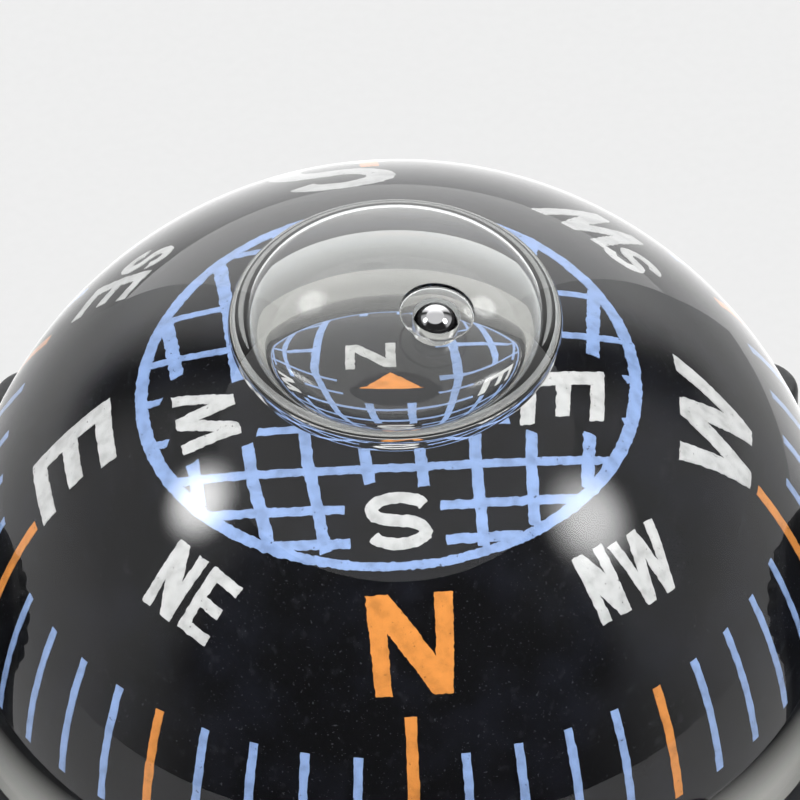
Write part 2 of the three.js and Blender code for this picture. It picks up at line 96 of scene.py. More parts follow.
class CompassSizes(bpy.types.PropertyGroup):
    """Sizes of the compass"""

    ball: length("Ball radius", "Outer radius of the clear ball", 0.020)
    wall: length("Shell wall", "Wall thickness of the clear ball", 0.0018)
    card: length("Card radius", "Radius of the printed card ball", 0.0142)
    card_drop: length("Card drop", "How far the card ball floats below the ball's centre", 0.0022)
    bubble: length("Bubble radius", "Largest radius of the air bubble", 0.0068)
    ink: length("Ink height", "How far the print stands off the card", 0.00003)
    tick_width: length("Tick width", "Width of a blue tick", 0.00036)
    tick_count: bpy.props.IntProperty(name="Ticks", description="Ticks round the card",
                                      default=40, min=4, max=120)
    heading: angle("Card heading", "Turn of the card about the vertical", 2.33)
    lean: angle("Card lean", "Lean of the card's print towards its south side", -4.18)
    side_lean: angle("Side lean", "Lean of the card's print towards its west side", -0.79)


class CompassColours(bpy.types.PropertyGroup):
    """Colours of the compass"""

    card: colour("Card", "Black of the card ball", "#0D0D0F")
    pale: colour("Card bottom", "Natural nylon of the card ball's lower half", "#CAC9C4")
    blue: colour("Blue ink", "Grid and ticks", "#8CA5D2")
    white: colour("White ink", "Letters", "#CBCBCA")
    orange: colour("Orange ink", "North, the triangle and the main ticks", "#D98C45")
    black: colour("Black plastic", "Band, bracket, knobs and foot", "#1A1B1D")
    floor: colour("Floor", "Paper that the compass stands on", "#F2F2F2")


class CompassView(bpy.types.PropertyGroup):
    """Where the camera stands and what it frames"""

    elevation: angle("Elevation", "Height of the camera's view above the horizontal", 42)
    roll: angle("Roll", "Turn of the camera about its view", -0.65)
    distance: length("Distance", "From the camera to the ball's centre", 0.6)
    radius_px: bpy.props.FloatProperty(name="Ball in pixels", default=447.0,
                                       description="Radius of the ball in an image 800 wide")
    centre_px: bpy.props.FloatVectorProperty(
        name="Centre in pixels", description="The ball's centre in an 800 x 800 image", size=2,
        default=(398.5, 606.0))


def size_of(name):
    """One of the compass's sizes, in millimetres."""
    return getattr(bpy.context.scene.compass_sizes, name) / MM


def paint(name):
    """One of the compass's colours, as linear values."""
    return list(getattr(bpy.context.scene.compass_colours, name))


def heights(node):
    """A CAD node's lowest and highest heights above the floor, in millimetres."""
    return [corner.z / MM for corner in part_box(node)]


# ---------------------------------------------------------------- nodes and finishes

MATH, VECTOR = "ShaderNodeMath", "ShaderNodeVectorMath"
MIX, RAMP, RANGE = "ShaderNodeMix", "ShaderNodeValToRGB", "ShaderNodeMapRange"


def add(tree, kind, links=None, stops=(), **settings):
    """A node with its settings and links.

    links gives each input a value, an output, or a node, whose first output in use it takes.
    stops are a colour ramp's pairs of place and linear colour."""
    node = tree.nodes.new(kind)
    for name, value in settings.items():
        setattr(node, name, value)
    for name, value in (links or {}).items():
        if isinstance(value, bpy.types.Node):
            value = next(output for output in value.outputs if output.enabled)
        if isinstance(value, bpy.types.NodeSocket):
            tree.links.new(value, node.inputs[name])
        else:
            node.inputs[name].default_value = value
    while stops and len(node.color_ramp.elements) < len(stops):
        node.color_ramp.elements.new(0.5)
    for number, (spot, value) in enumerate(stops):
        node.color_ramp.elements[number].position = spot
        node.color_ramp.elements[number].color = value
    return node


def new_material(name):
    """An empty node material and its tree."""
    material = bpy.data.materials.new(name)
    material.use_nodes = True
    material.node_tree.nodes.clear()
    return material, material.node_tree


def grain(tree, size_mm, detail=2.0, stretch=(1, 1, 1)):
    """Noise whose grains are about size_mm across, on the piece's own coordinates."""
    spot = add(tree, "ShaderNodeTexCoord").outputs["Object"]
    mapping = add(tree, "ShaderNodeMapping", {"Vector": spot, "Scale": stretch})
    return add(tree, "ShaderNodeTexNoise",
               {"Vector": mapping, "Scale": 1 / (size_mm * MM), "Detail": detail})


def grey(value):
    """A grey for ramps that drive a number."""
    return (value, value, value, 1)


def shade(code, factor):
    """A hex or linear colour made lighter or darker."""
    values = linear(code) if isinstance(code, str) else code
    return [min(v * factor, 1) for v in values[:3]] + [1]


def solid_material(name, base, rough, metal=0.0, cloud_mm=4, cloud=0.85, grain_mm=0.25,
                   bump_mm=0.0, stretch=(1, 1, 1)):
    """An opaque finish: clouds in its colour, grain in its roughness, and a fine relief."""
    material, tree = new_material(name)
    clouds = grain(tree, cloud_mm, 4)
    fine = grain(tree, grain_mm, 3, stretch)
    shader = add(tree, "ShaderNodeBsdfPrincipled", {
        "Base Color": add(tree, RAMP, {"Fac": clouds},
                          [(0.3, shade(base, cloud)), (0.7, shade(base, 1.0))]),
        "Roughness": add(tree, RAMP, {"Fac": fine},
                         [(0.3, grey(rough[0])), (0.7, grey(rough[1]))]),
        "Metallic": metal})
    if bump_mm:
        bump = add(tree, "ShaderNodeBump",
                   {"Height": fine, "Distance": bump_mm * MM, "Strength": 1.0})
        tree.links.new(bump.outputs["Normal"], shader.inputs["Normal"])
    add(tree, "ShaderNodeOutputMaterial", {"Surface": shader})
    return material


def clear_material(name, tints, ior, rough=0.0):
    """A clear finish, whose shadow is light. ior is relative to what touches it from outside."""
    material, tree = new_material(name)
    tone = add(tree, RAMP, {"Fac": grain(tree, 6, 3)},
               [(0.35, linear(tints[0])), (0.65, linear(tints[1]))])
    shader = add(tree, "ShaderNodeBsdfPrincipled",
                 {"Base Color": tone, "Roughness": rough, "IOR": ior, "Transmission Weight": 1.0})
    passing = add(tree, "ShaderNodeBsdfTransparent", {"Color": linear(tints[0])})
    shadow = add(tree, "ShaderNodeLightPath").outputs["Is Shadow Ray"]
    mix = add(tree, "ShaderNodeMixShader", {0: shadow, 1: shader, 2: passing})
    add(tree, "ShaderNodeOutputMaterial", {"Surface": mix})
    return material


def ink_material(name, base):
    """Pad-printed ink: nearly flat, thinner in blotches and with pinholes that show the card."""
    material, tree = new_material(name)
    blotch = grain(tree, 0.55, 4)
    tone = add(tree, RAMP, {"Fac": blotch},
               [(0.3, shade(base, 0.78)), (0.5, base), (0.72, shade(base, 1.12))])
    holes = add(tree, RAMP, {"Fac": grain(tree, 0.16, 2)}, [(0.69, grey(0)), (0.75, grey(0.7))])
    mixed = add(tree, MIX, {0: holes, "A": tone, "B": paint("card")}, data_type="RGBA")
    rough = add(tree, RAMP, {"Fac": blotch}, [(0.3, grey(0.42)), (0.7, grey(0.55))])
    shader = add(tree, "ShaderNodeBsdfPrincipled",
                 {"Base Color": mixed, "Roughness": rough, "Specular IOR Level": 0.04})
    add(tree, "ShaderNodeOutputMaterial", {"Surface": shader})
    return material


# Where the card's black paint starts to thin and where it ends, below the middle of the print
PAINT_EDGE = 0.6
PAINT_END = 2.7


def card_material():
    """Black paint on a natural nylon ball under oil: a faint milky haze, scuffs and light specks.

    The paint ends at a line under the print, and the bare nylon shows below it."""
    material, tree = new_material("black_paint_on_natural_nylon")
    haze = grain(tree, 2.6, 6)
    tone = add(tree, RAMP, {"Fac": haze}, [(0.42, paint("card")), (0.68, linear("#16171D"))])
    scuffs, specks = grain(tree, 0.5, 4, (1, 0.25, 1)), grain(tree, 0.11, 1)
    for pattern, start, end, most, over in ((scuffs, 0.6, 0.82, 0.4, "#3A3B40"),
                                            (specks, 0.70, 0.76, 0.45, "#5A5C62")):
        share = add(tree, RAMP, {"Fac": pattern}, [(start, grey(0)), (end, grey(most))])
        tone = add(tree, MIX, {0: share, "A": tone, "B": linear(over)}, data_type="RGBA")
    spot = add(tree, "ShaderNodeTexCoord").outputs["Object"]
    centred = add(tree, VECTOR, {0: spot, 1: card_seat()}, operation="SUBTRACT")
    up = print_turn() @ Vector((0, 0, 1))
    height = add(tree, VECTOR, {0: centred, 1: up}, operation="DOT_PRODUCT")
    painted = add(tree, RANGE, {"Value": height, "From Min": -PAINT_END * MM,
                                "From Max": -PAINT_EDGE * MM})
    shown = add(tree, MIX, {0: painted, "A": paint("pale"), "B": tone}, data_type="RGBA")
    rough = add(tree, RAMP, {"Fac": haze}, [(0.3, grey(0.30)), (0.7, grey(0.42))])
    shader = add(tree, "ShaderNodeBsdfPrincipled",
                 {"Base Color": shown, "Roughness": rough, "Specular IOR Level": 0.02})
    add(tree, "ShaderNodeOutputMaterial", {"Surface": shader})
    return material


ACRYLIC_IOR = 1.49
OIL_IOR = 1.46
MATERIALS = {}


def materials():
    """Makes every finish once, and gives them by name."""
    if MATERIALS:
        return MATERIALS
    MATERIALS.update({
        # Polished cast acrylic: water-clear, a crisp window-like gloss
        "acrylic": clear_material("polished_cast_acrylic", ("#FBFCFD", "#FEFEFE"), ACRYLIC_IOR),
        # The same where oil wets it: nearly no gloss, because oil bends light almost as much
        "acrylic_wet": clear_material("oil_wetted_cast_acrylic", ("#FBFCFD", "#FEFEFE"),
                                      ACRYLIC_IOR / OIL_IOR),
        # The bowl's outside, sand-blasted: a milky glow that hides the ballast
        "acrylic_frosted": clear_material("frosted_cast_acrylic", ("#F4F5F5", "#FAFAFA"),
                                          ACRYLIC_IOR, rough=0.6),
        # Light mineral oil against air: a bright liquid skin
        "oil": clear_material("clear_mineral_oil", ("#FCFCFA", "#FEFEFD"), OIL_IOR),
        # The same oil inside the wetted acrylic: no skin to see
        "oil_wet": clear_material("clear_mineral_oil_on_plastic", ("#FDFDFC", "#FEFEFE"), 1.0),
        # Soft clear PVC: faintly blue, slightly dull
        "pvc": clear_material("soft_clear_pvc", ("#DCE6E8", "#EDF2F3"), 1.53, rough=0.08),
        "card": card_material(),
        "blue": ink_material("pad_printed_blue_ink", paint("blue")),
        "white": ink_material("pad_printed_white_ink", paint("white")),
        "orange": ink_material("pad_printed_orange_ink", paint("orange")),
        # Moulded ABS with a spark-eroded satin: deep black, soft broad gloss
        "abs": solid_material("satin_moulded_black_abs", paint("black"), (0.42, 0.56), cloud=0.8,
                              grain_mm=0.22, bump_mm=0.006),
        # Hardened bearing steel, lapped: a small perfect mirror
        "ball_steel": solid_material("lapped_bearing_steel", "#CFCFD1", (0.04, 0.09), 1.0,
                                     cloud_mm=0.8, cloud=0.96, grain_mm=0.1),
        # Zinc plate on steel: cool, bright, a little uneven
        "zinc": solid_material("bright_zinc_plated_steel", "#C3C7CB", (0.24, 0.4), 1.0,
                               cloud_mm=1.6, cloud=0.86, grain_mm=0.12, bump_mm=0.002),
        # Turned brass: warm, with fine tool marks
        "brass": solid_material("turned_brass", "#D9B36A", (0.22, 0.36), 1.0, cloud_mm=1.5,
                                grain_mm=0.08, bump_mm=0.002),
        # Vulcanised fibre: red-brown, dry, fibrous
        "fibre": solid_material("vulcanised_fibre", "#7A4433", (0.7, 0.88), cloud_mm=0.9,
                                cloud=0.7, grain_mm=0.15, bump_mm=0.01, stretch=(1, 4, 1)),
        # Natural nylon: off-white and waxy
        "nylon": solid_material("moulded_natural_nylon", "#E4E2DA", (0.4, 0.52), cloud=0.93,
                                grain_mm=0.3, bump_mm=0.004),
        # Ground magnet steel: grey with grinding lines
        "magnet": solid_material("ground_magnet_steel", "#A9ABAF", (0.3, 0.5), 1.0,
                                 grain_mm=0.1, bump_mm=0.002, stretch=(1, 0.1, 1)),
        # Cast lead alloy: dull grey, slightly pitted
        "lead": solid_material("cast_lead_alloy", "#85878C", (0.55, 0.75), 1.0, cloud_mm=2,
                               cloud=0.75, grain_mm=0.4, bump_mm=0.02),
    })
    return MATERIALS


# ---------------------------------------------------------------- shape helpers

def soften(corners, steps=4):
    """A closed outline from (x, y, radius) corners, each rounded to its radius."""
    points = []
    count = len(corners)
    for i, (x, y, radius) in enumerate(corners):
        here = Vector((x, y))
        back = Vector(corners[i - 1][:2]) - here
        ahead = Vector(corners[(i + 1) % count][:2]) - here
        if radius <= 0 or back.length < 1e-6 or ahead.length < 1e-6:
            points.append(here)
            continue
        half = back.angle(ahead) / 2
        reach = min(radius / math.tan(half), 0.49 * back.length, 0.49 * ahead.length)
        radius = reach * math.tan(half)
        inward = (back.normalized() + ahead.normalized()).normalized()
        middle = here + inward * radius / math.sin(half)
        start = here + back.normalized() * reach - middle
        turn = math.pi - 2 * half
        side = 1 if back.cross(ahead) < 0 else -1
        for k in range(steps + 1):
            bend = side * turn * k / steps
            points.append(middle + Vector((start.x * math.cos(bend) - start.y * math.sin(bend),
                                           start.x * math.sin(bend) + start.y * math.cos(bend))))
    return points


def sphere_arc(radius, height, start, end, steps):
    """Corners on a ball's outline between two angles above the horizontal, in radians."""
    bends = [start + (end - start) * k / steps for k in range(steps + 1)]
    return [(max(radius * math.cos(bend), 0), height + radius * math.sin(bend), 0)
            for bend in bends]


def lathe(outline, segments):
    """A closed solid from (radius, height) points turned round Z, with its faces outward.

    A radius may follow the direction, as a function. A point on the axis becomes one vertex."""
    form = bmesh.new()
    rings = []
    for radius, height, *_ in outline:
        shaped = callable(radius)
        if not shaped and radius < 1e-6:
            rings.append([form.verts.new((0, 0, height))])
            continue
        ring = []
        for k in range(segments):
            turn = AROUND * k / segments
            reach = radius(turn) if shaped else radius
            ring.append(form.verts.new((reach * math.cos(turn), reach * math.sin(turn), height)))
        rings.append(ring)
    for low, high in zip(rings, rings[1:] + rings[:1]):
        if len(low) == len(high) == 1:
            continue
        for k in range(segments):
            after = (k + 1) % segments
            if len(low) == 1:
                form.faces.new((low[0], high[after], high[k]))
            elif len(high) == 1:
                form.faces.new((low[k], low[after], high[0]))
            else:
                form.faces.new((low[k], low[after], high[after], high[k]))
    bmesh.ops.recalc_face_normals(form, faces=form.faces)
    return form


def turned(corners, segments, steps=4):
    """A closed turned solid about Z, from (radius, height, rounding) corners."""
    return lathe(soften(corners, steps), segments)


def rod(radius, bottom, top, segments, edge=0.0):
    """A rod along Z with rounded ends."""
    return turned([(0, bottom, 0), (radius, bottom, edge), (radius, top, edge), (0, top, 0)],
                  segments)


def block(low, high, edge=0.0):
    """A box between two corners, with rounded edges."""
    form = bmesh.new()
    bmesh.ops.create_cube(form, size=1)
    low, high = Vector(low), Vector(high)
    size = high - low
    for vertex in form.verts:
        vertex.co = Vector([(low[i] + high[i]) / 2 + vertex.co[i] * size[i] for i in range(3)])
    if edge:
        bmesh.ops.bevel(form, geom=form.edges[:], offset=edge, segments=3, profile=0.5,
                        affect="EDGES")
    return form


def moved(form, matrix):
    """The same form after a move or turn."""
    form.transform(matrix)
    return form


ALONG_X = Matrix.Rotation(math.pi / 2, 4, "Y")
SIDES = (("left", -1), ("right", 1))


def side_turn(side):
    """Turns a form made for the right side to the left."""
    return Matrix.Rotation(0 if side > 0 else math.pi, 4, "Z")


def to_mesh(form, name):
    """A mesh from a form, which is used up."""
    mesh = bpy.data.meshes.new(name)
    form.to_mesh(mesh)
    form.free()
    return mesh


def combine(base, changes):
    """A form after joining ("+") or cutting ("-") other forms, in order."""
    objects = [bpy.data.objects.new("part", to_mesh(base, "part"))]
    for sign, tool in changes:
        objects.append(bpy.data.objects.new("tool", to_mesh(tool, "tool")))
        modifier = objects[0].modifiers.new("change", "BOOLEAN")
        modifier.operation = "UNION" if sign == "+" else "DIFFERENCE"
        modifier.solver = "EXACT"
        modifier.object = objects[-1]
    for item in objects:
        bpy.context.scene.collection.objects.link(item)
    graph = bpy.context.evaluated_depsgraph_get()
    result = bmesh.new()
    result.from_mesh(objects[0].evaluated_get(graph).to_mesh())
    for item in objects:
        mesh = item.data
        bpy.data.objects.remove(item)
        bpy.data.meshes.remove(mesh)
    bmesh.ops.remove_doubles(result, verts=result.verts, dist=1e-5)
    return result


def finished(name, mesh, body, nodes, sharp):
    """Makes a mesh into a piece that rides on a body and replaces CAD nodes.

    Edges that turn by more than sharp degrees stay crisp."""
    mesh.shade_smooth()
    mesh.set_sharp_from_angle(angle=math.radians(sharp))
    piece = bpy.data.objects.new(name, mesh)
    bpy.context.scene.collection.objects.link(piece)
    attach(piece, body)
    if nodes:
        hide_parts(*nodes)
    return piece


def place(name, form, finishes, body, nodes, lift=AXIS, sharp=32):
    """Makes a form in millimetres into a finished piece, lifted to its place."""
    form.transform(Matrix.Translation((0, 0, lift * MM)) @ Matrix.Scale(MM, 4))
    mesh = to_mesh(form, name)
    for finish in finishes:
        mesh.materials.append(materials()[finish])
    return finished(name, mesh, body, nodes, sharp)


# ---------------------------------------------------------------- clear ball, oil and bubble

SEAM = -3.6
FLANGE = 21.4
FLANGE_TOP = -2.5
FLANGE_BOTTOM = -4.7
PLUG_OFFSET = (1.84, -2.66)
PLUG_RADIUS = 1.0
PLUG_GAP = 0.05
RECESS_RADIUS = 1.65
RECESS_DEPTH = 0.35
OPTIC_SEGMENTS = 160
NEAR = 0.1  # how close to a ball's surface a face's middle lies when it is part of it
SKIN_IN_WALL = 0.05  # how deep the oil's skin is drawn into the wall
OIL_FILM = 0.03
CARD_ROOM = 0.06  # how deep the oil's inner skin is drawn into the card ball


def plug_axis():
    """Direction from the ball's centre to the filling hole."""
    ball = size_of("ball")
    rise = math.sqrt(ball ** 2 - PLUG_OFFSET[0] ** 2 - PLUG_OFFSET[1] ** 2)
    return Vector((*PLUG_OFFSET, rise)).normalized()


def along_plug(form):
    """Turns a form made on Z onto the filling hole's axis."""
    return moved(form, Vector((0, 0, 1)).rotation_difference(plug_axis()).to_matrix().to_4x4())


def optical_normals(piece, ball, inner, hole=None):
    """Sets exact normals on the ball's two surfaces and its hole, so that they refract evenly."""
    facing, upright, hole_reach = 0.985, 0.3, 2
    mesh = piece.data
    normals = [tuple(corner.vector) for corner in mesh.corner_normals]
    for face in mesh.polygons:
        middle = (face.center - CENTRE) / MM
        steep = abs(face.normal.dot(middle.normalized()))
        near_ball = abs(middle.length - ball) < NEAR and steep > facing
        near_inner = abs(middle.length - inner) < NEAR and steep > facing
        for corner in face.loop_indices:
            spot = (mesh.vertices[mesh.loops[corner].vertex_index].co - CENTRE) / MM
            if near_ball:
                normals[corner] = tuple(spot.normalized())
            elif near_inner:
                normals[corner] = tuple(-spot.normalized())
            elif hole is not None and middle.z > 0 and steep < upright:
                off = spot - hole * spot.dot(hole)
                if off.length < hole_reach:
                    normals[corner] = tuple(-off.normalized())
    mesh.normals_split_custom_set(normals)


class COMPASS_OT_ball(bpy.types.Operator):
    """Makes the clear dome and bowl"""

    bl_idname = "compass.ball"
    bl_label = "Clear ball"

    def execute(self, context):
        ball = size_of("ball")
        inner = ball - size_of("wall")
        seam_angle = math.asin(SEAM / inner)
        dome = [*sphere_arc(ball, 0, POLE, 0, 48), (ball, FLANGE_TOP, 0.15),
                (FLANGE, FLANGE_TOP, 0.2), (FLANGE, SEAM, 0.08),
                *sphere_arc(inner, 0, seam_angle, POLE, 48)]
        hole = along_plug(rod(PLUG_RADIUS + PLUG_GAP, inner - SPARE, ball + SPARE, 64))
        floor = ball - RECESS_DEPTH
        recess = along_plug(turned([(0, floor, 0), (RECESS_RADIUS, floor, 0.12),
                                    (RECESS_RADIUS, ball + SPARE, 0), (0, ball + SPARE, 0)], 64))
        form = combine(turned(dome, OPTIC_SEGMENTS), [("-", recess), ("-", hole)])
        for face in form.faces:
            face.material_index = int(abs(face.calc_center_median().length - inner) < NEAR)
        piece = place("clear_dome", form, ["acrylic", "acrylic_wet"], "capsule",
                      ["upper_shell"])
        optical_normals(piece, ball, inner, plug_axis())
        outer_angle = math.asin(FLANGE_BOTTOM / ball)
        bowl = [*sphere_arc(inner, 0, -POLE, seam_angle, 40), (FLANGE, SEAM, 0.08),
                (FLANGE, FLANGE_BOTTOM, 0.2), *sphere_arc(ball, 0, outer_angle, -POLE, 40)]
        form = turned(bowl, OPTIC_SEGMENTS)
        for face in form.faces:
            middle = face.calc_center_median()
            outside = abs(middle.length - ball) < NEAR and middle.z < FLANGE_BOTTOM
            face.material_index = 2 if outside else int(abs(middle.length - inner) < NEAR)
        piece = place("clear_bowl", form, ["acrylic", "acrylic_wet", "acrylic_frosted"],
                      "capsule", ["lower_shell"])
        optical_normals(piece, ball, inner)
        return {"FINISHED"}


class COMPASS_OT_oil(bpy.types.Operator):
    """Makes the clear oil with the air bubble at its top"""

    bl_idname = "compass.oil"
    bl_label = "Oil and bubble"

    def execute(self, context):
        inner = size_of("ball") - size_of("wall")
        form = lathe(sphere_arc(inner + SKIN_IN_WALL, 0, -POLE, POLE, 120), OPTIC_SEGMENTS)
        for face in form.faces:
            face.material_index = 1
        # A film of oil wets the wall above the bubble, so the bubble is a hollow that stays on top
        film = inner - OIL_FILM
        side = meniscus(size_of("bubble"), film)
        bubble = side[:-1] + sphere_arc(film, 0, math.acos(side[-1][0] / film), POLE, 24)
        room = sphere_arc(size_of("card") - CARD_ROOM, -size_of("card_drop"), -POLE, POLE, 40)
        for outline, segments, finish in ((bubble, OPTIC_SEGMENTS, 0), (room, 96, 1)):
            hollow = lathe(outline, segments)
            bmesh.ops.reverse_faces(hollow, faces=hollow.faces)
            for face in hollow.faces:
                face.material_index = finish
            mesh = to_mesh(hollow, "hollow")
            form.from_mesh(mesh)
            bpy.data.meshes.remove(mesh)
        place("oil_and_bubble", form, ["oil", "oil_wet"], "level_oil",
              ["damping_liquid"], sharp=60)
        return {"FINISHED"}


CAPILLARY = 2.95  # root of the oil's surface tension over its weight
CONTACT = 0.05  # angle at which the bubble's skin meets the wall
SKIN_STEP = 0.01
KEEP_EVERY = 28  # of the skin's fine steps


def bubble_side(crown, skin):
    """The bubble's underside from the axis outward, by the balance of weight and surface tension.

    It is nearly flat in the middle, swells past its ring and comes back to the wall that it wets.
    crown is its radius of curvature on the axis, and skin the radius of the wall."""
    x, z, slope = 0.0, 0.0, 0.0
    points = [(x, z)]
    while slope < math.pi - math.asin(x / skin) - CONTACT:
        bend = 1 / crown if x < 1e-3 else 2 / crown + z / CAPILLARY ** 2 - math.sin(slope) / x
        slope += bend * SKIN_STEP
        x += math.cos(slope) * SKIN_STEP
        z += math.sin(slope) * SKIN_STEP
        points.append((x, z))
    lift = math.sqrt(skin ** 2 - x ** 2) - z
    return [(px, pz + lift) for px, pz in points]


def meniscus(radius, skin):
    """The bubble's underside with a given largest radius, found by halving the crown's range."""
    low, high = 2.0, 200.0
    for _ in range(40):
        crown = math.sqrt(low * high)
        if max(bubble_side(crown, skin))[0] < radius:
            low = crown
        else:
            high = crown
    points = bubble_side(low, skin)
    return points[:-KEEP_EVERY // 2:KEEP_EVERY] + points[-1:]


class COMPASS_OT_plug(bpy.types.Operator):
    """Makes the steel ball that plugs the filling hole"""

    bl_idname = "compass.plug"
    bl_label = "Plug ball"

    def execute(self, context):
        form = turned(sphere_arc(PLUG_RADIUS, 0, -POLE, POLE, 36), 72)
        moved(form, Matrix.Translation(plug_axis() * (size_of("ball") - PLUG_RADIUS)))
        place("steel_plug_ball", form, ["ball_steel"], "capsule",
              ["fill_plug_ball"], sharp=180)
        return {"FINISHED"}


# ---------------------------------------------------------------- card ball and its print

CARD_WALL = 1.2
LIP_INSET = 0.3
LIP_WALL = 0.8
LIP_HALF = 1.5  # how far the lip that joins the halves reaches above and below the joint
JOINT_GAP = 0.004
CARD_FLOOR = 3.2  # how thick the lower half's bottom is
POST_RADIUS = 1.6
POST_TOP = -3.6
PEG_RADIUS = 1.0
PEG_TOP = -2.0
PIP_END = 17.9  # how far below the clear ball's centre the card's pip ends


class COMPASS_OT_card(bpy.types.Operator):
    """Makes the two halves of the card ball"""

    bl_idname = "compass.card"
    bl_label = "Card ball"

    def execute(self, context):
        card = size_of("card")
        lift = AXIS - size_of("card_drop")
        inner = card - CARD_WALL
        lip = inner - LIP_INSET
        lip_in = lip - LIP_WALL
        shelf = math.asin(LIP_HALF / inner)
        upper = [*sphere_arc(card, 0, POLE, JOINT_GAP, 60), (card, 0, 0.03), (lip, 0, 0.05),
                 (lip, -LIP_HALF, 0.1), (lip_in, -LIP_HALF, 0.1), (lip_in, LIP_HALF, 0.1),
                 *sphere_arc(inner, 0, shelf, POLE, 24)[1:]]
        place("card_top_half", turned(upper, 144), ["card"], "card",
              ["card_upper"], lift)
        floor = CARD_FLOOR - card
        floor_angle = math.asin(floor / inner)
        pip = size_of("card_drop") - PIP_END
        lower = [(0, pip, 0), (PEG_RADIUS, pip, 0.5),
                 *sphere_arc(card, 0, -math.acos(PEG_RADIUS / card), -JOINT_GAP, 60),
                 (card, 0, 0.03), (inner, 0, 0.05), *sphere_arc(inner, 0, 0, floor_angle, 24)[1:],
                 (POST_RADIUS, floor, 0.2), (POST_RADIUS, POST_TOP, 0.1),
                 (PEG_RADIUS, POST_TOP, 0.05), (PEG_RADIUS, PEG_TOP, 0.1), (0, PEG_TOP, 0)]
        place("card_bottom_half", turned(lower, 144), ["card"], "card",
              ["card_lower"], lift)
        return {"FINISHED"}


def card_seat():
    """The card ball's centre, in metres."""
    return CENTRE - Vector((0, 0, bpy.context.scene.compass_sizes.card_drop))


def print_turn():
    """How the print sits on the card: it leans a little and faces off the driver's line."""
    sizes = bpy.context.scene.compass_sizes
    lean = Matrix.Rotation(sizes.lean, 3, "X") @ Matrix.Rotation(sizes.side_lean, 3, "Y")
    return lean @ Matrix.Rotation(sizes.heading, 3, "Z")


def globe(latitude, longitude):
    """Direction on the card. Longitude 0 is the north mark, and it grows to the left."""
    lat, lon = math.radians(latitude), math.radians(longitude)
    return Vector((-math.cos(lat) * math.sin(lon), -math.cos(lat) * math.cos(lon), math.sin(lat)))


EDGE_SEED = 1  # without it, the print's rough edges would differ from run to run


def rough_edge(points):
    """An outline cut into short steps, each moved a little, as a worn pad prints it."""
    pitch, amount = 0.08, 0.042
    result = []
    for start, end in zip(points, [*points[1:], points[0]]):
        steps = max(1, round((end - start).length / pitch))
        for k in range(steps):
            spot = start.lerp(end, k / steps)
            wobble = noise.noise_vector(Vector((spot.x * 5.1, spot.y * 5.1, 3.7)))
            fine = noise.noise_vector(Vector((spot.x * 16, spot.y * 16, 8.1)))
            result.append(spot + amount * (wobble.to_2d() + 0.7 * fine.to_2d()))
    return result


INK_CELL = 0.45
INK_ROOT = -0.05  # how deep the ink's closed underside lies in the card


def ink_patch(form, edge, to_direction):
    """Prints a flat outline on the card, as a thin closed skin of ink with a rough edge."""
    outline = rough_edge(edge)
    xs = [p.x for p in outline]
    ys = [p.y for p in outline]
    inside = []
    y = min(ys) + INK_CELL / 2
    while y < max(ys):
        x = min(xs) + INK_CELL / 2
        while x < max(xs):
            inside.append(Vector((x, y)))
            x += INK_CELL
        y += INK_CELL
    count = len(outline)
    edges = [(i, (i + 1) % count) for i in range(count)]
    flat, _, faces, *_ = delaunay_2d_cdt([*outline, *inside], edges, [list(range(count))], 1, 1e-6)
    card = size_of("card")
    ways = [print_turn() @ to_direction(p).normalized() for p in flat]
    used = {i for face in faces for i in face}
    layers = [{i: form.verts.new(ways[i] * (card + height)) for i in used}
              for height in (size_of("ink"), INK_ROOT)]
    border = {}
    for face in faces:
        form.faces.new([layers[0][i] for i in face])
        form.faces.new([layers[1][i] for i in reversed(face)])
        for a, b in zip(face, [*face[1:], face[0]]):
            border[(a, b)] = True
    for a, b in border:
        if (b, a) not in border:
            form.faces.new([layers[0][b], layers[0][a], layers[1][a], layers[1][b]])


def ribbon(points, width):
    """The outline of a stroke of even width along a bent line, with square ends."""
    left, right = [], []
    for i, point in enumerate(points):
        before = points[max(i - 1, 0)]
        after = points[min(i + 1, len(points) - 1)]
        along = (after - before).normalized()
        side = Vector((-along.y, along.x)) * width / 2
        if 0 < i < len(points) - 1:
            first = (point - before).normalized()
            side /= max(math.cos(first.angle(along)), 0.5)
        left.append(point + side)
        right.append(point - side)
    return left + right[::-1]


def glyph(letter, w, h, s):
    """A plain block letter as outlines, w wide, h high and s thick, with its middle at zero."""
    if letter == "E":
        low, high, reach = h / 2 - s / 2, h / 2 + s / 2, w * 0.9
        shape = [(0, 0), (w, 0), (w, s), (s, s), (s, low), (reach, low), (reach, high), (s, high),
                 (s, h - s), (w, h - s), (w, h), (0, h)]
    elif letter == "N":
        cut = s * 1.2
        near = h * cut / (w - s + 1e-9)
        shape = [(0, 0), (s, 0), (s, h - near * 1.15), (w - cut, 0), (w, 0), (w, h), (w - s, h),
                 (w - s, near * 1.15), (cut, h), (0, h)]
    elif letter == "W":
        a, b, c = 0.27 * w, 0.5 * w, 0.73 * w
        notch = h * s / (b - s / 2)
        under = h * (b - a - s / 2) / (b - a)
        shape = [(0, h), (s, h), (a, notch), (b - s / 2, h), (b + s / 2, h), (c, notch),
                 (w - s, h), (w, h), (c + s / 2, 0), (c - s / 2, 0), (b, under),
                 (a + s / 2, 0), (a - s / 2, 0)]
    else:
        # The S is a stroke along two bows, the upper one first
        rx, ry = (w - s) / 2, (h - s) / 4
        bows = [(ry, t) for t in range(15, 271, 15)] + [(-ry, t) for t in range(75, -166, -15)]
        shape = ribbon([Vector((w / 2 + rx * math.cos(math.radians(t)),
                                h / 2 + rise + ry * math.sin(math.radians(t))))
                        for rise, t in bows], s)
    return [Vector((x - w / 2, y - h / 2)) for x, y in shape]


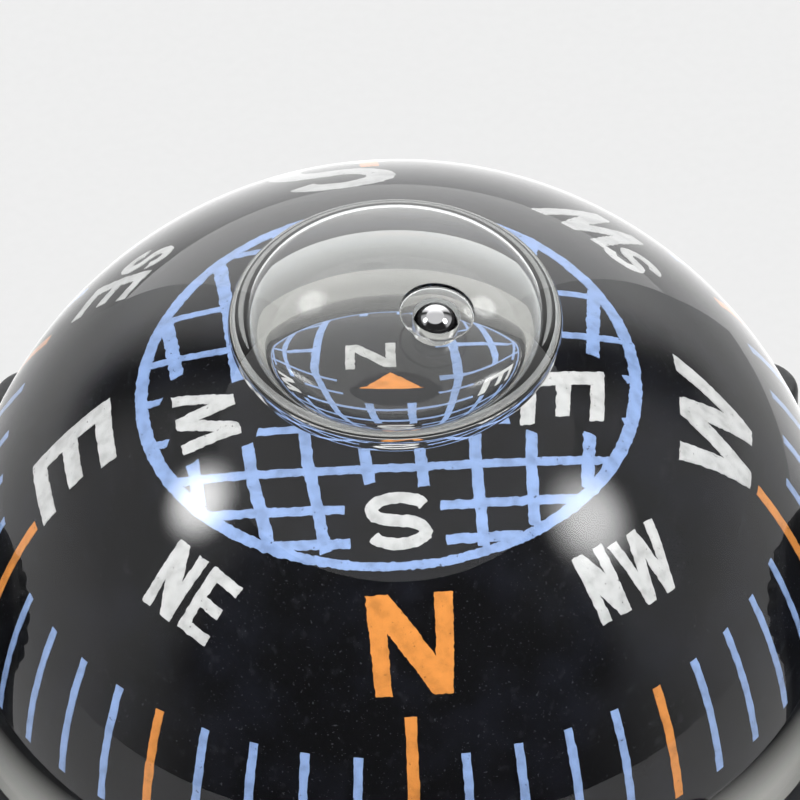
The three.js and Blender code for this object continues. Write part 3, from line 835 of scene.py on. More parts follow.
def write(form, letter, centre, axes, size, stroke, turn, slants=(0, 0), taper=0.0):
    """Prints a letter round a direction on the card. axes are its right and up before its turn.

    slants shift it sideways with height, and upward with width. taper widens its top."""
    bend = Quaternion(centre, math.radians(turn))
    right, up = bend @ axes[0], bend @ axes[1]
    middle = centre * size_of("card")
    outline = [Vector((p.x + slants[0] * p.y, p.y + slants[1] * p.x))
               for p in glyph(letter, size[0], size[1], stroke)]
    ink_patch(form, outline,
              lambda p: middle + right * p.x * (1 + taper * p.y / size[1]) + up * p.y)


def write_on_flank(form, letter, lat, lon, width, height, stroke, turn, taper):
    """Prints a letter round the card's flank, which reads from the front when that side faces."""
    centre = globe(lat, lon)
    right = Vector((0, 0, 1)).cross(centre).normalized()
    write(form, letter, centre, (right, centre.cross(right)), (width, height), stroke, turn,
          taper=taper)


def write_on_top(form, letter, x, y, width, height, stroke, turn, slants):
    """Prints a letter near the card's top. turn is from the way that reads from the front."""
    centre = plan_direction(Vector((x, y)) * size_of("card"))
    back = Vector((0, 1, 0))
    up = (back - centre * back.dot(centre)).normalized()
    write(form, letter, centre, (up.cross(centre), up), (width, height), stroke, turn, slants)


# Letters round the flank: letter, latitude, longitude, width, height, stroke, turn, taper
FLANK_WHITE = [
    ("N", 39.5, 52.0, 1.60, 2.80, 0.46, -6, 0.05), ("E", 38.6, 42.2, 1.50, 2.75, 0.46, -12, 0.05),
    ("N", 38.8, -43.2, 1.50, 2.80, 0.46, -3, 0.05), ("W", 37.2, -54.6, 2.45, 2.75, 0.46, -8, 0.1),
    ("E", 36.9, 95.0, 3.10, 4.15, 0.78, 0, 0.0), ("W", 36.4, -94.8, 5.0, 3.75, 0.82, 2, 0.15),
    ("S", 32.0, 146.2, 1.25, 2.2, 0.40, 0, 0.0), ("E", 31.3, 138.5, 1.5, 2.9, 0.46, 0, 0.0),
    ("W", 33.0, -148.2, 2.7, 3.3, 0.48, 0, 0.0), ("S", 36.0, -137.8, 1.55, 2.2, 0.42, 0, 0.0),
    ("S", 29.2, 175.6, 3.1, 5.2, 0.78, 0, 0.0),
]
NORTH = ("N", 38.3, -0.9, 3.25, 4.0, 0.70, 0, 0.12)
# Letters on the globe grid, tops outward: letter, plan x and y as shares of the card's radius,
# width, height, stroke, turn, slants
TOP_WHITE = [
    ("S", -0.007, -0.53, 2.55, 2.35, 0.48, 180, (0, 0)),
    ("W", -0.485, -0.102, 3.0, 2.45, 0.51, 90, (0.3, 0)),
    ("E", 0.441, -0.108, 2.25, 3.6, 0.62, -66, (0, -0.4)),
    ("N", -0.060, 0.172, 2.3, 2.0, 0.45, 0, (0, 0)),
]
TRIANGLE = [(-1.47, -0.3), (1.4, -0.3), (0.0, 1.0)]

# The globe grid. Its ring and the places of its lines are shares of the card's radius, on a plan
GRID_RADIUS = 0.626
GRID_CENTRE = (-0.008, -0.008)
RING_STEPS = 72
RING_WIDTH = 0.43
RING_THINNING = 0.17  # at its front
COLUMN_WIDTH = 0.44
COLUMN_CURVE = 0.2
COLUMN_FLARE = 0.09  # how the columns lean right in front of FLARE_START
FLARE_START = 0.34
ROW_WIDTH = 0.31
ROW_CURVE = 0.45
# Where each line crosses the middle, and the stretches of it that are printed
GRID_DOWN = [
    (-0.538, [(0.09, 0.9), (-0.9, -0.215)]), (-0.395, [(-0.02, 0.9), (-0.9, -0.237)]),
    (-0.245, [(-0.9, 0.9)]), (-0.09, [(-0.43, -0.2), (0.53, 0.9)]),
    (0.06, [(-0.445, -0.2), (0.53, 0.9)]), (0.212, [(-0.9, 0.9)]),
    (0.363, [(-0.9, -0.25), (0.09, 0.9)]), (0.512, [(-0.9, -0.197), (0.075, 0.9)]),
]
GRID_ACROSS = [
    (-0.58, [(-0.9, -0.14), (0.119, 0.9)]), (-0.498, [(-0.9, -0.151), (0.107, 0.9)]),
    (-0.395, [(-0.9, 0.9)]), (-0.27, [(-0.9, -0.585), (-0.363, 0.30), (0.59, 0.9)]),
    (-0.12, [(-0.9, -0.585), (-0.33, -0.17), (0.15, 0.28), (0.59, 0.9)]),
    (0.03, [(-0.9, -0.17), (0.15, 0.9)]), (0.21, [(-0.9, -0.24), (0.15, 0.9)]),
    (0.46, [(-0.9, -0.24), (0.1, 0.9)]),
]


def plan_direction(p):
    """Direction on the card above a plan point, given in millimetres."""
    card = size_of("card")
    x, y = p.x / card, p.y / card
    return Vector((x, y, math.sqrt(max(1 - x * x - y * y, 0.01))))


def column(place_at, t):
    """A point of a line that runs away from the driver."""
    flare = COLUMN_FLARE * max(-t - FLARE_START, 0)
    return place_at * (1 - COLUMN_CURVE * t * t) + flare, t


def row(place_at, t):
    """A point of a line that runs across."""
    return t, place_at + ROW_CURVE * t * t


def grid_runs(line, place_at, low, high, steps=90):
    """Runs of a grid line that lie inside the ring, as plan points in millimetres."""
    card = size_of("card")
    runs, run = [], []
    for k in range(steps + 1):
        point = Vector(line(place_at, low + (high - low) * k / steps))
        if (point - Vector(GRID_CENTRE)).length < GRID_RADIUS - 0.004:
            run.append(point * card)
        elif run:
            runs.append(run)
            run = []
    return [r for r in (*runs, run) if len(r) > 1]


def ring_point(k, side):
    """A point of the grid's ring on its inner or outer edge, on the plan."""
    card = size_of("card")
    turn = AROUND * k / RING_STEPS
    width = RING_WIDTH - RING_THINNING * max(-math.sin(turn), 0) ** 2
    radius = GRID_RADIUS * card + side * width / 2
    return Vector(GRID_CENTRE) * card + radius * Vector((math.cos(turn), math.sin(turn)))


class COMPASS_OT_print(bpy.types.Operator):
    """Prints the globe grid, the letters and the north triangle on the card"""

    bl_idname = "compass.print"
    bl_label = "Card print"

    def execute(self, context):
        noise.seed_set(EDGE_SEED)
        lift = AXIS - size_of("card_drop")
        blue, white, orange = bmesh.new(), bmesh.new(), bmesh.new()
        for k in range(RING_STEPS):
            ink_patch(blue, [ring_point(k, -1), ring_point(k, 1), ring_point(k + 1, 1),
                             ring_point(k + 1, -1)], plan_direction)
        for line, width, lines in ((column, COLUMN_WIDTH, GRID_DOWN),
                                   (row, ROW_WIDTH, GRID_ACROSS)):
            for place_at, stretches in lines:
                for low, high in stretches:
                    for run in grid_runs(line, place_at, low, high):
                        ink_patch(blue, ribbon(run, width), plan_direction)
        place("blue_globe_grid", blue, ["blue"], "card", [], lift)
        for letter in FLANK_WHITE:
            write_on_flank(white, *letter)
        for letter in TOP_WHITE:
            write_on_top(white, *letter)
        place("white_letters", white, ["white"], "card", [], lift)
        write_on_flank(orange, *NORTH)
        ink_patch(orange, [Vector(corner) for corner in TRIANGLE], plan_direction)
        place("orange_north_marks", orange, ["orange"], "card", [], lift)
        return {"FINISHED"}


def new_group(name, inputs):
    """A tree of geometry nodes with named inputs, and the outputs that give them."""
    tree = bpy.data.node_groups.new(name, "GeometryNodeTree")
    tree.interface.new_socket("Geometry", in_out="OUTPUT", socket_type="NodeSocketGeometry")
    for label, kind in inputs.items():
        tree.interface.new_socket(label, in_out="INPUT", socket_type="NodeSocket" + kind)
    return tree, add(tree, "NodeGroupInput").outputs


INK_ROOT_M = INK_ROOT * MM
RAGGED_SCALE = 2600.0  # waves of the ticks' ragged edge in a metre


def tick_tree(name):
    """Lays ticks round the card, on the steps whose remainder by Every lies in From..To."""
    tree, given = new_group(name, {
        "Card Radius": "Float", "Ink Height": "Float", "Width": "Float", "Top": "Float",
        "Bottom": "Float", "Count": "Int", "Every": "Int", "From": "Int", "To": "Int",
        "Roughness": "Float", "Material": "Material"})
    # One tick, bent to the card in front
    tall = add(tree, MATH, {0: given["Top"], 1: given["Bottom"]}, operation="SUBTRACT")
    bar = add(tree, "GeometryNodeMeshGrid", {"Size X": given["Width"], "Size Y": tall,
                                             "Vertices X": 5, "Vertices Y": 40})
    spot = add(tree, "GeometryNodeInputPosition")
    apart = add(tree, "ShaderNodeSeparateXYZ", {0: spot}).outputs
    ends = add(tree, MATH, {0: given["Top"], 1: given["Bottom"]}, operation="ADD")
    middle = add(tree, MATH, {0: ends, 1: 0.5}, operation="MULTIPLY")
    latitude = add(tree, MATH, {0: apart["Y"], 1: middle}, operation="ADD")
    cosine = add(tree, MATH, {0: latitude}, operation="COSINE")
    sine = add(tree, MATH, {0: latitude}, operation="SINE")
    front = add(tree, MATH, {0: given["Card Radius"], 1: -1.0}, operation="MULTIPLY")
    bent = add(tree, "ShaderNodeCombineXYZ", {
        "X": apart["X"], "Y": add(tree, MATH, {0: cosine, 1: front}, operation="MULTIPLY"),
        "Z": add(tree, MATH, {0: sine, 1: given["Card Radius"]}, operation="MULTIPLY")})
    upright = add(tree, "GeometryNodeSetPosition", {"Geometry": bar, "Position": bent})
    # Its copies on the chosen steps
    steps = add(tree, "GeometryNodeMeshLine", {"Count": given["Count"], "Offset": (0, 0, 0)})
    index = add(tree, "GeometryNodeInputIndex")
    left = add(tree, MATH, {0: index, 1: given["Every"]}, operation="MODULO")
    first = add(tree, MATH, {0: given["From"], 1: 0.5}, operation="SUBTRACT")
    last = add(tree, MATH, {0: given["To"], 1: 0.5}, operation="ADD")
    past = add(tree, MATH, {0: left, 1: first}, operation="GREATER_THAN")
    before = add(tree, MATH, {0: left, 1: last}, operation="LESS_THAN")
    chosen = add(tree, MATH, {0: past, 1: before}, operation="MULTIPLY")
    step = add(tree, MATH, {0: AROUND, 1: given["Count"]}, operation="DIVIDE")
    turn = add(tree, MATH, {0: index, 1: step}, operation="MULTIPLY")
    ring = add(tree, "GeometryNodeInstanceOnPoints", {
        "Points": steps, "Selection": chosen, "Instance": upright,
        "Rotation": add(tree, "ShaderNodeCombineXYZ", {"Z": turn})})
    real = add(tree, "GeometryNodeRealizeInstances", {"Geometry": ring})
    # A ragged edge, and the thickness of the ink
    field = add(tree, "ShaderNodeTexNoise", {"Vector": spot, "Scale": RAGGED_SCALE, "Detail": 1.0})
    centred = add(tree, VECTOR, {0: field.outputs["Color"], 1: (0.5, 0.5, 0.5)},
                  operation="SUBTRACT")
    wobble = add(tree, VECTOR, {0: centred, "Scale": given["Roughness"]}, operation="SCALE")
    ragged = add(tree, "GeometryNodeSetPosition", {"Geometry": real, "Offset": wobble})
    way = add(tree, VECTOR, {0: spot}, operation="NORMALIZE")
    root = add(tree, MATH, {0: given["Card Radius"], 1: INK_ROOT_M}, operation="ADD")
    laid = add(tree, VECTOR, {0: way, "Scale": root}, operation="SCALE")
    sunk = add(tree, "GeometryNodeSetPosition", {"Geometry": ragged, "Position": laid})
    thick = add(tree, MATH, {0: given["Ink Height"], 1: -INK_ROOT_M}, operation="ADD")
    raised = add(tree, "GeometryNodeExtrudeMesh", {"Mesh": sunk, "Offset": way,
                                                   "Offset Scale": thick, "Individual": False})
    under = add(tree, "GeometryNodeFlipFaces", {"Mesh": sunk})
    both = add(tree, "GeometryNodeJoinGeometry")
    for part in (raised, under):
        tree.links.new(part.outputs["Mesh"], both.inputs[0])
    sealed = add(tree, "GeometryNodeMergeByDistance", {"Geometry": both, "Distance": 1e-7})
    inked = add(tree, "GeometryNodeSetMaterial",
                {"Geometry": sealed, "Material": given["Material"]})
    add(tree, "NodeGroupOutput", {"Geometry": inked})
    return tree


def grown(name, tree, values):
    """The plain mesh that a tree makes on an empty object, with inputs set by identifier."""
    carrier = bpy.data.objects.new(name + "_carrier", bpy.data.meshes.new("seed"))
    bpy.context.scene.collection.objects.link(carrier)
    modifier = carrier.modifiers.new("grow", "NODES")
    modifier.node_group = tree
    for item in tree.interface.items_tree:
        if item.item_type == "SOCKET" and item.in_out == "INPUT" and item.name in values:
            modifier[item.identifier] = values[item.name]
    carrier.update_tag()
    graph = bpy.context.evaluated_depsgraph_get()
    mesh = bpy.data.meshes.new_from_object(carrier.evaluated_get(graph))
    mesh.name = name
    seed = carrier.data
    bpy.data.objects.remove(carrier)
    bpy.data.meshes.remove(seed)
    finish = next(material for material in mesh.materials if material)
    mesh.materials.clear()
    mesh.materials.append(finish)
    return mesh


TICK_BOTTOM = 0.8
TICK_RAGGED = 0.00012
# Ticks: name, every, from, to, times the tick width, top latitude, ink
TICKS = [("blue_ticks", 5, 1, 4, 1.0, 20.3, "blue"),
         ("orange_ticks", 10, 5, 5, 1.1, 20.3, "orange"),
         ("orange_quarter_ticks", 10, 0, 0, 1.3, 26.9, "orange")]


class COMPASS_OT_ticks(bpy.types.Operator):
    """Prints the ticks round the card's flank"""

    bl_idname = "compass.ticks"
    bl_label = "Ticks"

    def execute(self, context):
        sizes = context.scene.compass_sizes
        tree = tick_tree("card_ticks")
        for name, every, first, last, wide, top, ink in TICKS:
            mesh = grown(name, tree, {
                "Card Radius": sizes.card, "Ink Height": sizes.ink,
                "Width": sizes.tick_width * wide, "Top": math.radians(top),
                "Bottom": math.radians(TICK_BOTTOM), "Count": sizes.tick_count, "Every": every,
                "From": first, "To": last, "Roughness": TICK_RAGGED,
                "Material": materials()[ink]})
            mesh.transform(Matrix.Translation(card_seat()) @ print_turn().to_4x4())
            finished(name, mesh, "card", [], 32)
        return {"FINISHED"}


# ---------------------------------------------------------------- clamp band, screws and pivots

BAND_WALL_IN = 21.7
BAND_OUT = 23.6
LIP_IN = 20.3
BAND_TOP = -1.5
BAND_BOTTOM = -5.7
BAND_SEGMENTS = 144
BAND_SCREWS = 4
LUG_CIRCLE = 23.35
LUG_RADIUS = 1.9
SCREW_RADIUS = 0.85
SCREW_HEAD = 1.5
SCREW_HEAD_HEIGHT = 1.0
SCREW_BITE = 1.4  # how far a screw reaches past the seam
SCREW_GAP = 0.05
EAR_IN = 20.5
EAR_OUT = 25.0
EAR_RADIUS = 3.4
WEB_INSET = 0.02
INSERT_RADIUS = 2.35
INSERT_LENGTH = 3.5


def lug(k, radius, bottom, top, edge=0.0):
    """A rod where the band's screw k stands."""
    turn = math.pi / BAND_SCREWS + AROUND * k / BAND_SCREWS
    spot = (LUG_CIRCLE * math.cos(turn), LUG_CIRCLE * math.sin(turn), 0)
    return moved(rod(radius, bottom, top, 40, edge), Matrix.Translation(spot))


def lugs(sign, *shape):
    """Joins or cuts a rod at each screw."""
    return [(sign, lug(k, *shape)) for k in range(BAND_SCREWS)]


class COMPASS_OT_band(bpy.types.Operator):
    """Makes the clamp band's two rings with their lugs and ears"""

    bl_idname = "compass.band"
    bl_label = "Clamp band"

    def execute(self, context):
        upper = [(LIP_IN, BAND_TOP, 0.3), (BAND_OUT, BAND_TOP, 0.5), (BAND_OUT, SEAM, 0.08),
                 (BAND_WALL_IN, SEAM, 0), (BAND_WALL_IN, FLANGE_TOP, 0), (LIP_IN, FLANGE_TOP, 0.05)]
        changes = lugs("+", LUG_RADIUS, SEAM, BAND_TOP, 0.35)
        for side in (1, -1):
            boss = moved(rod(EAR_RADIUS, EAR_IN, EAR_OUT, 64, 0.4), side_turn(side) @ ALONG_X)
            web = block((EAR_IN, -EAR_RADIUS + WEB_INSET, FLANGE_TOP),
                        (BAND_OUT - WEB_INSET, EAR_RADIUS - WEB_INSET, -WEB_INSET))
            changes += [("+", boss), ("+", moved(web, side_turn(side)))]
        changes.append(("-", rod(BAND_WALL_IN, SEAM - 4 * SPARE, FLANGE_TOP, BAND_SEGMENTS)))
        changes += lugs("-", SCREW_RADIUS + SCREW_GAP, SEAM - SPARE, SEAM + SCREW_BITE + 0.3)
        for side in (1, -1):
            hole = rod(INSERT_RADIUS, EAR_OUT - INSERT_LENGTH, EAR_OUT + SPARE, 48)
            changes.append(("-", moved(hole, side_turn(side) @ ALONG_X)))
        form = combine(turned(upper, BAND_SEGMENTS), changes)
        place("clamp_band_top", form, ["abs"], "capsule", ["band_upper"])
        lower = [(LIP_IN, BAND_BOTTOM, 0.3), (LIP_IN, FLANGE_BOTTOM, 0.05),
                 (BAND_WALL_IN, FLANGE_BOTTOM, 0), (BAND_WALL_IN, SEAM, 0),
                 (BAND_OUT, SEAM, 0.08), (BAND_OUT, BAND_BOTTOM, 0.5)]
        changes = lugs("+", LUG_RADIUS, BAND_BOTTOM, SEAM, 0.35)
        changes.append(("-", rod(BAND_WALL_IN, FLANGE_BOTTOM, SEAM + SPARE, BAND_SEGMENTS)))
        changes += lugs("-", SCREW_RADIUS + SCREW_GAP, BAND_BOTTOM - SPARE, SEAM + SPARE)
        form = combine(turned(lower, BAND_SEGMENTS), changes)
        place("clamp_band_bottom", form, ["abs"], "capsule", ["band_lower"])
        return {"FINISHED"}


def pan_screw(head, head_height, shank, reach):
    """A pan-head screw that points up, its head's underside at zero, with a cross recess."""
    form = turned([(0, -head_height, 0), (head, -head_height, head_height * 0.55),
                   (head, 0, 0.06), (shank, 0, 0), (shank, reach - shank * 0.5, 0.05),
                   (shank * 0.4, reach, 0.05), (0, reach, 0)], 32)
    long, wide, deep = head * 0.52, head * 0.11, -head_height * 0.42
    cuts = [("-", moved(block((-long, -wide, -head_height - SPARE), (long, wide, deep)),
                        Matrix.Rotation(turn, 4, "Z"))) for turn in (0, math.pi / 2)]
    return combine(form, cuts)


RECESS_TURN = 1.7  # so that the screws' recesses stand at different angles, as if driven by hand


def ring_tree(name):
    """Stands copies of one piece round a circle."""
    tree, given = new_group(name, {"Piece": "Object", "Circle Radius": "Float", "Count": "Int",
                                   "Start": "Float", "Height": "Float", "Material": "Material"})
    step = add(tree, MATH, {0: AROUND, 1: given["Count"]}, operation="DIVIDE")
    along = add(tree, MATH, {0: add(tree, "GeometryNodeInputIndex"), 1: step},
                operation="MULTIPLY")
    turn = add(tree, MATH, {0: given["Start"], 1: along}, operation="ADD")
    cosine = add(tree, MATH, {0: turn}, operation="COSINE")
    sine = add(tree, MATH, {0: turn}, operation="SINE")
    x = add(tree, MATH, {0: given["Circle Radius"], 1: cosine}, operation="MULTIPLY")
    y = add(tree, MATH, {0: given["Circle Radius"], 1: sine}, operation="MULTIPLY")
    spot = add(tree, "ShaderNodeCombineXYZ", {"X": x, "Y": y, "Z": given["Height"]})
    line = add(tree, "GeometryNodeMeshLine", {"Count": given["Count"], "Offset": (0, 0, 0)})
    places = add(tree, "GeometryNodeSetPosition", {"Geometry": line, "Position": spot})
    piece = add(tree, "GeometryNodeObjectInfo", {"Object": given["Piece"]}).outputs["Geometry"]
    spin = add(tree, MATH, {0: turn, 1: RECESS_TURN}, operation="MULTIPLY")
    copies = add(tree, "GeometryNodeInstanceOnPoints", {
        "Points": places, "Instance": piece,
        "Rotation": add(tree, "ShaderNodeCombineXYZ", {"Z": spin})})
    real = add(tree, "GeometryNodeRealizeInstances", {"Geometry": copies})
    shown = add(tree, "GeometryNodeSetMaterial", {"Geometry": real, "Material": given["Material"]})
    add(tree, "NodeGroupOutput", {"Geometry": shown})
    return tree


class COMPASS_OT_screws(bpy.types.Operator):
    """Makes the four screws that hold the band together"""

    bl_idname = "compass.screws"
    bl_label = "Band screws"

    def execute(self, context):
        form = pan_screw(SCREW_HEAD, SCREW_HEAD_HEIGHT, SCREW_RADIUS,
                         SCREW_BITE + SEAM - BAND_BOTTOM)
        form.transform(Matrix.Scale(MM, 4))
        template = bpy.data.objects.new("screw_template", to_mesh(form, "screw_template"))
        context.scene.collection.objects.link(template)
        mesh = grown("band_screw_set", ring_tree("screw_ring"), {
            "Piece": template, "Circle Radius": LUG_CIRCLE * MM, "Count": BAND_SCREWS,
            "Start": math.pi / BAND_SCREWS, "Height": CENTRE.z + BAND_BOTTOM * MM,
            "Material": materials()["zinc"]})
        bpy.data.objects.remove(template)
        finished("band_screw_set", mesh, "capsule",
                 [f"band_screw_{k + 1}" for k in range(BAND_SCREWS)], 32)
        return {"FINISHED"}


WASHER_RADIUS = 3.4
BOLT_HOLE = 1.7
WASHER_THICKNESS = 0.5
# Washers on each side: name, finish, slot, node, where it starts, rounding
WASHERS = [("fibre_washer_", "fibre", "fibre", "friction_washer_", 25.05, 0.06),
           ("steel_washer_", "zinc", "zinc_steel", "washer_", 28.45, 0.12)]


class COMPASS_OT_washers(bpy.types.Operator):
    """Makes the fibre and steel washers on both sides of each arm"""

    bl_idname = "compass.washers"
    bl_label = "Washers"

    def execute(self, context):
        for label, side in SIDES:
            for name, finish, slot, node, start, edge in WASHERS:
                end = start + WASHER_THICKNESS
                form = turned([(BOLT_HOLE, start, edge), (WASHER_RADIUS, start, edge),
                               (WASHER_RADIUS, end, edge), (BOLT_HOLE, end, edge)], 64, 3)
                place(name + label, moved(form, side_turn(side) @ ALONG_X), [finish], "bracket",
                      [node + label])
        return {"FINISHED"}


KNOB_IN = 29.0
KNOB_OUT = 35.0
KNOB_RADIUS = 5.4
KNOB_SEGMENTS = 192
FLUTES = 16
FLUTE_DEPTH = 0.55
BOLT_RADIUS = 1.5
BOLT_GAP = 0.05
BOLT_ACROSS = 5.5
BOLT_SEAT = KNOB_OUT - 2.3
BOLT_HEAD = 2.0
BOLT_REACH = 10.0
# The knob's outline from its bore outward and back: height, inset from the fluted side
KNOB_SIDE = [(KNOB_IN + 0.05, 0.9), (KNOB_IN + 0.09, 0.55), (KNOB_IN + 0.28, 0.18),
             (KNOB_IN + 0.62, 0.0), (KNOB_OUT - 0.8, 0.0), (KNOB_OUT - 0.4, 0.17),
             (KNOB_OUT - 0.14, 0.5), (KNOB_OUT - 0.05, 0.95)]


def fluted(inset):
    """The knob's radius in each direction, a little inside its side."""
    return lambda turn: (KNOB_RADIUS
                         - FLUTE_DEPTH * (0.5 + 0.5 * math.cos(FLUTES * turn)) ** 1.5 - inset)


def hexagon(gap=0.0, most=math.inf):
    """The bolt head's radius in each direction, with a gap round it or cut to a circle."""
    def radius(turn):
        local = (turn + math.pi / 6) % (math.pi / 3) - math.pi / 6
        return min((BOLT_ACROSS + 2 * gap) / 2 / math.cos(local), most)
    return radius


class COMPASS_OT_knobs(bpy.types.Operator):
    """Makes the two fluted clamp knobs and their hexagon bolts"""

    bl_idname = "compass.knobs"
    bl_label = "Clamp knobs"

    def execute(self, context):
        bore = BOLT_RADIUS + BOLT_GAP
        knob = [(bore, KNOB_IN), (3.9, KNOB_IN), (4.1, KNOB_IN + 0.05),
                *((fluted(inset), height) for height, inset in KNOB_SIDE),
                (4.15, KNOB_OUT - 0.05), (3.95, KNOB_OUT - 0.25), (3.6, KNOB_OUT - 0.25),
                (hexagon(0.24), KNOB_OUT - 0.12), (hexagon(BOLT_GAP), KNOB_OUT - 0.3),
                (hexagon(BOLT_GAP), BOLT_SEAT), (bore, BOLT_SEAT)]
        end, top = BOLT_SEAT - BOLT_REACH, BOLT_SEAT + BOLT_HEAD
        bolt = [(0, end), (1.15, end), (BOLT_RADIUS, end + 0.4), (BOLT_RADIUS, BOLT_SEAT),
                (hexagon(most=2.75), BOLT_SEAT), (hexagon(), BOLT_SEAT + 0.22),
                (hexagon(), top - 0.32), (hexagon(most=2.95), top - 0.16),
                (hexagon(most=2.6), top), (1.9, top), (1.7, top - 0.12), (0, top - 0.12)]
        for label, side in SIDES:
            turn = side_turn(side) @ ALONG_X
            place(f"clamp_knob_{label}", moved(lathe(knob, KNOB_SEGMENTS), turn), ["abs"],
                  f"{label}_knob_set", [f"knob_{label}"], sharp=38)
            place(f"hexagon_bolt_{label}", moved(lathe(bolt, 96), turn), ["zinc"],
                  f"{label}_knob_set", [f"pivot_bolt_{label}"], sharp=28)
        return {"FINISHED"}


# ---------------------------------------------------------------- bracket, swivel, foot and cup

ARM_MIDDLE = 27.0
ARM_HALF = 1.4
ARM_EDGE = 0.45
ARC_DROP = 3.7
ARC_CUTS = 72
YOKE_HALF_WIDTH = 6.0
PAD_HALF_LENGTH = 7.5
PAD_BOTTOM = 16.0 - AXIS
SEAT_RADIUS = 3.3
SEAT_DEPTH = 0.4


def plate(outlines, half, edge):
    """A flat plate with rounded edges. The first outline is its rim, and the others are holes."""
    curve = bpy.data.curves.new("plate", "CURVE")
    curve.dimensions = "2D"
    curve.fill_mode = "BOTH"
    curve.extrude = half - edge
    curve.bevel_depth = edge
    curve.bevel_resolution = 3
    curve.offset = -edge
    for outline in outlines:
        line = curve.splines.new("POLY")
        line.points.add(len(outline) - 1)
        for spot, (x, y) in zip(line.points, outline):
            spot.co = (x, y, 0, 1)
        line.use_cyclic_u = True
    item = bpy.data.objects.new("plate", curve)
    bpy.context.scene.collection.objects.link(item)
    graph = bpy.context.evaluated_depsgraph_get()
    mesh = bpy.data.meshes.new_from_object(item.evaluated_get(graph))
    bpy.data.objects.remove(item)
    bpy.data.curves.remove(curve)
    form = bmesh.new()
    form.from_mesh(mesh)
    bpy.data.meshes.remove(mesh)
    bmesh.ops.remove_doubles(form, verts=form.verts, dist=1e-4)
    return form


def circle(radius, x, start=0.0, sweep=AROUND, count=40):
    """Points on a circle, or on part of it."""
    share = count if sweep == AROUND else count - 1
    turns = [start + sweep * k / share for k in range(count)]
    return [(x + radius * math.cos(turn), radius * math.sin(turn)) for turn in turns]


class COMPASS_OT_bracket(bpy.types.Operator):
    """Makes the U bracket as a bent strip on its pad"""

    bl_idname = "compass.bracket"
    bl_label = "Bracket"

    def execute(self, context):
        bend_half = math.pi * ARM_MIDDLE / 2
        reach = bend_half + ARC_DROP
        rim = circle(YOKE_HALF_WIDTH, reach, -math.pi / 2, math.pi)
        rim += circle(YOKE_HALF_WIDTH, -reach, math.pi / 2, math.pi)
        holes = [circle(BOLT_HOLE, x)[::-1] for x in (reach, -reach)]
        form = plate([rim, *holes], ARM_HALF, ARM_EDGE)
        for k in range(1, ARC_CUTS):
            x = -bend_half + 2 * bend_half * k / ARC_CUTS
            bmesh.ops.bisect_plane(form, geom=form.verts[:] + form.edges[:] + form.faces[:],
                                   dist=1e-5, plane_co=(x, 0, 0), plane_no=(1, 0, 0))
        for vertex in form.verts:
            u, w, n = vertex.co
            out = ARM_MIDDLE + n
            if abs(u) <= bend_half:
                turn = u / ARM_MIDDLE
                vertex.co = (out * math.sin(turn), w, -ARC_DROP - out * math.cos(turn))
            else:
                vertex.co = (math.copysign(out, u), w, -ARC_DROP + abs(u) - bend_half)
        bmesh.ops.recalc_face_normals(form, faces=form.faces)
        seat = -ARC_DROP - (ARM_MIDDLE - ARM_HALF) - SEAT_DEPTH
        pad = block((-PAD_HALF_LENGTH, -YOKE_HALF_WIDTH, PAD_BOTTOM),
                    (PAD_HALF_LENGTH, YOKE_HALF_WIDTH, -ARC_DROP - ARM_MIDDLE), 0.35)
        changes = [("+", pad), ("-", rod(SEAT_RADIUS, seat, seat + 2 * SPARE, 48)),
                   ("-", rod(BOLT_HOLE, PAD_BOTTOM - SPARE, seat + SPARE, 40))]
        place("u_bracket", combine(form, changes), ["abs"], "bracket", ["yoke"],
              sharp=36)
        return {"FINISHED"}


SPLIT_GAP = math.radians(7)
SPLIT_SLANT = math.radians(6)
SPLIT_STEPS = 60


def split_washer(inner, outer, bottom, thick):
    """A spring washer: a ring with a slanting cut."""
    form = bmesh.new()
    sections = []
    for k in range(SPLIT_STEPS + 1):
        turn = SPLIT_GAP / 2 + (AROUND - SPLIT_GAP) * k / SPLIT_STEPS
        corners = []
        for radius, height in ((inner, 0), (outer, 0), (outer, thick), (inner, thick)):
            way = turn + SPLIT_SLANT * (height / thick - 0.5)
            corners.append(form.verts.new((radius * math.cos(way), radius * math.sin(way),
                                           bottom + height)))
        sections.append(corners)
    for a, b in zip(sections, sections[1:]):
        for i in range(4):
            form.faces.new((a[i], a[(i + 1) % 4], b[(i + 1) % 4], b[i]))
    form.faces.new(sections[0][::-1])
    form.faces.new(sections[-1])
    bmesh.ops.recalc_face_normals(form, faces=form.faces)
    bmesh.ops.bevel(form, geom=[e for e in form.edges if e.calc_face_angle(0) > 1], offset=0.08,
                    segments=2, profile=0.5, affect="EDGES")
    return form


SPRING_IN, SPRING_OUT = 1.6, 3.0
SWIVEL_HEAD = 2.8
SWIVEL_HEAD_HEIGHT = 1.7
DISC_RADIUS = 6


